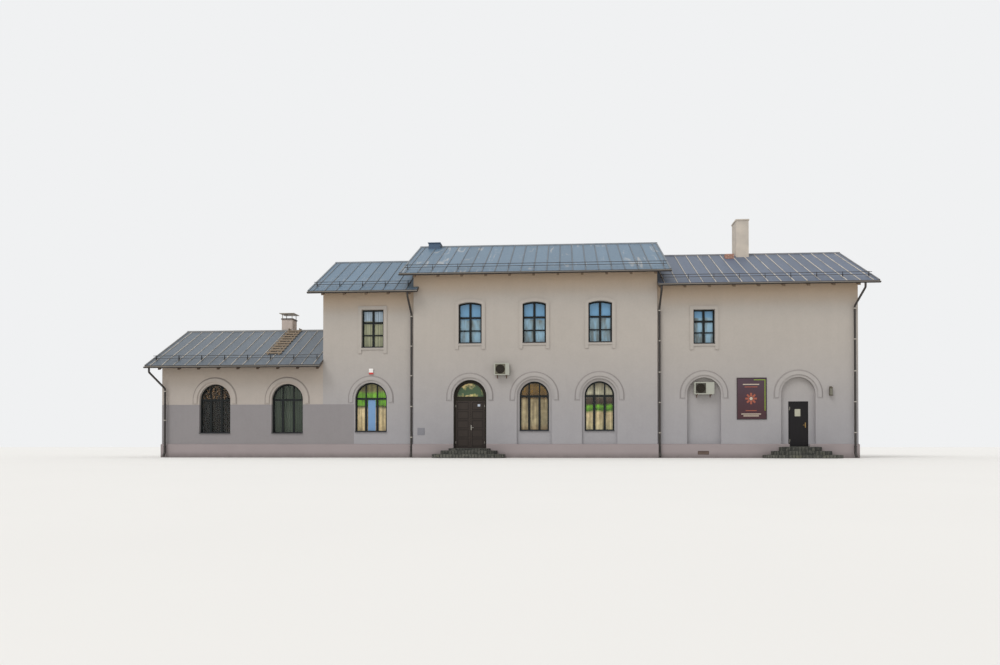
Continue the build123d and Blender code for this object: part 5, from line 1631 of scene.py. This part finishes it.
def plain_finish(name, colour, rough=0.5):
    """Painted or moulded surface with slight fading."""
    coat = Finish(name)
    fade = coat.noise(6.0, 4.0)
    return coat.surface(coat.tone(colour, 0.88 + 0.24 * fade), rough + 0.15 * fade, coat.noise(80.0), 0.0004)


def strips(shape, plan, half_height, middle, low, high, front, face):
    """Level strips on the sign, each at its own distance from the top or the foot."""
    for down, half in plan:
        z = high.z - down if down > 0 else low.z - down
        corner = (middle - half, front, z - half_height)
        shape.block(corner, (middle + half, face, z + half_height), EASED_EDGE)


def sign_motif(look):
    """A plain layout of strips and a round rosette in the sunk field, and a lime strip."""
    low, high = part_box("sign_board")
    face = low.y + SIGN_FIELD
    front = face - MOTIF_PROUD
    middle = (low.x + high.x) / 2 + MOTIF_ASIDE
    cream = Shape()
    warm = Shape()
    strips(cream, CREAM_STRIPS, CREAM_HALF_HEIGHT, middle, low, high, front, face)
    strips(warm, WARM_STRIPS, WARM_HALF_HEIGHT, middle, low, high, front, face)
    centre = Vector((middle, (face + front) / 2, (low.z + high.z) / 2))
    thin = MOTIF_PROUD / 2
    for index in range(PETALS):
        turn = Matrix.Translation(centre) @ Matrix.Rotation(math.tau * index / PETALS, 4, "Y")
        warm.block((PETAL_FROM, -thin, -PETAL_HALF), (PETAL_TO, thin, PETAL_HALF), EASED_EDGE, turn)
    cream.rod(centre + Vector((0, thin, 0)), centre - Vector((0, thin + TINY, 0)), ROSETTE_HEART, DISC_SIDES)
    cream.keep("sign_strips", plain_finish("sign_cream", SIGN_CREAM), "sign_metal")
    warm.keep("sign_rosette", plain_finish("sign_warm", SIGN_WARM), "sign_metal")
    lime = Shape()
    right = high.x - SIGN_RIM - LIME_ASIDE
    left = right - LIME_WIDTH
    top = high.z - SIGN_RIM - LIME_DOWN
    lime.block((left, front, low.z + LIME_FOOT), (right, face, top), EASED_EDGE)
    lime.block((left - LIME_RUN, front, top - LIME_WIDTH), (left, face, top), EASED_EDGE)
    lime.keep("sign_lime_strip", plain_finish("sign_lime", look.lime), "sign_metal")


def lamp_finish():
    """A bronze-brown lantern with a frosted glass middle."""
    coat = Finish("lamp_metal")
    low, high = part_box("wall_lamp")
    glass = coat.between(coat.axis("Z"), low.z + LAMP_GLASS_FOOT, high.z - LAMP_GLASS_TOP)
    glass = glass * coat.fall(coat.axis("Y"), high.y + LAMP_BACK[0], high.y + LAMP_BACK[1])
    rust = coat.noise(14.0, 5.0)
    colour = coat.mix(glass, coat.mix(rust, *LAMP_BROWN), LAMP_GLASS)
    return coat.surface(colour, 0.5 - 0.2 * glass + 0.15 * rust, rust, 0.001)


def lamp_cage(finish):
    """Upright bars round the lantern's glass."""
    low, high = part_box("wall_lamp")
    foot = low.z + CAGE_FOOT
    head = high.z - CAGE_HEAD
    x = (low.x + high.x) / 2
    y = low.y + (high.x - low.x) / 2
    shape = Shape()
    for index in range(CAGE_BARS):
        angle = math.tau * (index + 0.5) / CAGE_BARS
        bar_x = x + CAGE_RADIUS * math.cos(angle)
        bar_y = y + CAGE_RADIUS * math.sin(angle)
        shape.rod((bar_x, bar_y, foot), (bar_x, bar_y, head), CAGE_WIRE, BAR_SIDES)
    shape.keep("lamp_cage", finish, "white_metal", smooth=True)


def alarm_finish(look):
    """A white alarm box with a red lens below."""
    coat = Finish("alarm_plastic")
    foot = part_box("alarm_box")[0].z
    lens = coat.fall(coat.axis("Z"), foot + ALARM_LENS[0], foot + ALARM_LENS[1])
    colour = coat.mix(lens, coat.tone(ALARM_WHITE, 0.94 + 0.1 * coat.noise(8.0)), look.red)
    return coat.surface(colour, 0.34 - 0.15 * lens, coat.noise(60.0), 0.0003)


def cover_finish():
    """The plinth vent's painted cover with a dark rim of painted shade round its opening, and the hatch plate
    in the wall's paint.
    """
    coat = Finish("cover_paint")
    low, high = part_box("vent_and_hatch_covers")
    x = coat.axis("X")
    panel = coat.between(x, high.x - VENT_WIDTH + COVER_RIM, high.x - COVER_RIM)
    panel = panel * coat.between(coat.axis("Z"), low.z + COVER_RIM, low.z + VENT_HEIGHT - COVER_RIM)
    # Painted shade: the dark rim stands for the shade inside the vent's opening.
    vent = coat.mix(panel, VENT_RIM_SHADE, VENT_FACE)
    hatch = coat.mix(coat.noise(5.0, 4.0), *HATCH_GREY)
    colour = coat.mix(coat.step(x, 0.0, 1.0), hatch, vent)
    return coat.surface(coat.tone(colour, 0.92 + 0.15 * coat.noise(4.0)), 0.8, coat.noise(70.0), 0.002)


def vent_slats(finish):
    """Slats across the plinth vent."""
    low, high = max(solids("vent_and_hatch_covers"), key=lambda pair: pair[0].x)
    corners = (low.x + COVER_RIM, -SLAT_SHEET, 0), (high.x - COVER_RIM, 0.0, SLAT_DEPTH)
    lean = Matrix.Rotation(SLAT_LEAN, 4, "X")
    shape = Shape()
    for index in range(SLATS):
        spot = Matrix.Translation((0, low.y + SLAT_SETBACK, low.z + SLAT_FOOT + SLAT_PITCH * index))
        shape.block(*corners, SHEET_EDGE, spot @ lean)
    shape.keep("vent_slats", finish, "plinth_stone")


class STATION_OT_fittings(bpy.types.Operator):
    """Finish the sign, lamp, alarm box, vent and hatch"""

    bl_idname = "station.fittings"
    bl_label = "Sign and fittings"

    def execute(self, context):
        look = context.scene.station_fittings
        dress(sign_finish(look), "sign_board")
        sign_motif(look)
        dress(lamp_finish(), "wall_lamp")
        lamp_cage(plain_finish("lamp_bars", LAMP_BARS))
        dress(alarm_finish(look), "alarm_box")
        dress(cover_finish(), "vent_and_hatch_covers")
        vent_slats(plain_finish("slat_paint", SLAT_BROWN, 0.7))
        return {"FINISHED"}


# Stage

CAMERA_PLACE = (3.142, -46.510, 0.5675)
CAMERA_TURN = (90.75, 0.0, 4.326)
CAMERA_LENS = 30.6
CAMERA_SENSOR = 36.0
CAMERA_SHIFT = 0.1024
FLOOR_HALF = 400.0
FLOOR_DROP = 0.003
DAYLIGHT = (1.0, 0.99, 0.98, 1.0)
SUN_TURN = (42.0, 0.0, -38.0)
SUN_SPREAD = 25.0


class STATION_OT_stage(bpy.types.Operator):
    """Set the floor, the even light and the camera"""

    bl_idname = "station.stage"
    bl_label = "Stage"

    def execute(self, context):
        look = context.scene.station_stage
        self.lay_floor(look)
        self.set_world(context.scene, look)
        self.set_lamp(context.scene, look)
        self.set_camera(context.scene)
        context.scene.view_settings.view_transform = "Standard"
        return {"FINISHED"}

    @staticmethod
    def lay_floor(look):
        """A wide pale floor just under the building's foot."""
        mesh = bmesh.new()
        bmesh.ops.create_grid(mesh, x_segments=1, y_segments=1, size=FLOOR_HALF,
                              matrix=Matrix.Translation((0, 0, -FLOOR_DROP)))
        data = bpy.data.meshes.new("floor")
        mesh.to_mesh(data)
        mesh.free()
        coat = Finish("floor_paint")
        data.materials.append(coat.surface(coat.tone(look.floor, 0.985 + 0.03 * coat.noise(0.3)), 0.9))
        floor = bpy.data.objects.new("floor", data)
        bpy.context.scene.collection.objects.link(floor)

    @staticmethod
    def set_world(scene, look):
        """Even light all round, with a plain pale background for the camera, gloss and glass."""
        world = bpy.data.worlds.new("plain_light")
        world.use_nodes = True
        scene.world = world
        nodes = Nodes(world.node_tree)
        camera = nodes.node("ShaderNodeLightPath", {}, {}, "Is Camera Ray")
        gloss = nodes.node("ShaderNodeLightPath", {}, {}, "Is Glossy Ray")
        glass = nodes.node("ShaderNodeLightPath", {}, {}, "Is Transmission Ray")
        light = nodes.node("ShaderNodeBackground", {}, {"Color": DAYLIGHT, "Strength": look.daylight})
        back = nodes.node("ShaderNodeBackground", {}, {"Color": look.sky})
        clear = nodes.most(nodes.most(camera, gloss), glass)
        mixed = nodes.node("ShaderNodeMixShader", {}, {0: clear, 1: light, 2: back})
        nodes.end("ShaderNodeOutputWorld", mixed)

    @staticmethod
    def set_lamp(scene, look):
        """One soft key light from high on the left."""
        data = bpy.data.lights.new("key_light", "SUN")
        data.energy = look.sun
        data.angle = math.radians(SUN_SPREAD)
        lamp = bpy.data.objects.new("key_light", data)
        lamp.rotation_euler = [math.radians(angle) for angle in SUN_TURN]
        scene.collection.objects.link(lamp)

    @staticmethod
    def set_camera(scene):
        """The photograph's view of the front."""
        data = bpy.data.cameras.new("camera")
        data.lens = CAMERA_LENS
        data.sensor_width = CAMERA_SENSOR
        data.sensor_fit = "HORIZONTAL"
        data.shift_y = CAMERA_SHIFT
        data.clip_end = 2 * FLOOR_HALF
        camera = bpy.data.objects.new("camera", data)
        camera.location = CAMERA_PLACE
        camera.rotation_euler = [math.radians(angle) for angle in CAMERA_TURN]
        scene.collection.objects.link(camera)
        scene.camera = camera


# Panel and registration

OPERATORS = (STATION_OT_walls, STATION_OT_roofs, STATION_OT_eaves, STATION_OT_windows, STATION_OT_curtains,
             STATION_OT_doors, STATION_OT_steps, STATION_OT_cooling, STATION_OT_fittings, STATION_OT_stage)


class STATION_PT_panel(bpy.types.Panel):
    """Every step of the building's finish"""

    bl_idname = "STATION_PT_panel"
    bl_label = "Station building"
    bl_space_type = "VIEW_3D"
    bl_region_type = "UI"
    bl_category = "Station"

    def draw(self, context):
        for operator in OPERATORS:
            self.layout.operator(operator.bl_idname, text=operator.bl_label)


def register():
    """Add the looks, the operators and the panel."""
    for name, look in LOOKS.items():
        bpy.utils.register_class(look)
        setattr(bpy.types.Scene, name, PointerProperty(type=look))
    for kind in (*OPERATORS, STATION_PT_panel):
        bpy.utils.register_class(kind)


def unregister():
    """Take them away again."""
    for kind in reversed((*OPERATORS, STATION_PT_panel)):
        bpy.utils.unregister_class(kind)
    for name, look in LOOKS.items():
        delattr(bpy.types.Scene, name)
        bpy.utils.unregister_class(look)


def main():
    """Dress the frame from walls to stage."""
    register()
    bpy.ops.station.walls()
    bpy.ops.station.roofs()
    bpy.ops.station.eaves()
    bpy.ops.station.windows()
    bpy.ops.station.curtains()
    bpy.ops.station.doors()
    bpy.ops.station.steps()
    bpy.ops.station.cooling()
    bpy.ops.station.fittings()
    bpy.ops.station.stage()
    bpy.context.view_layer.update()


if __name__ == "__main__":
    main()
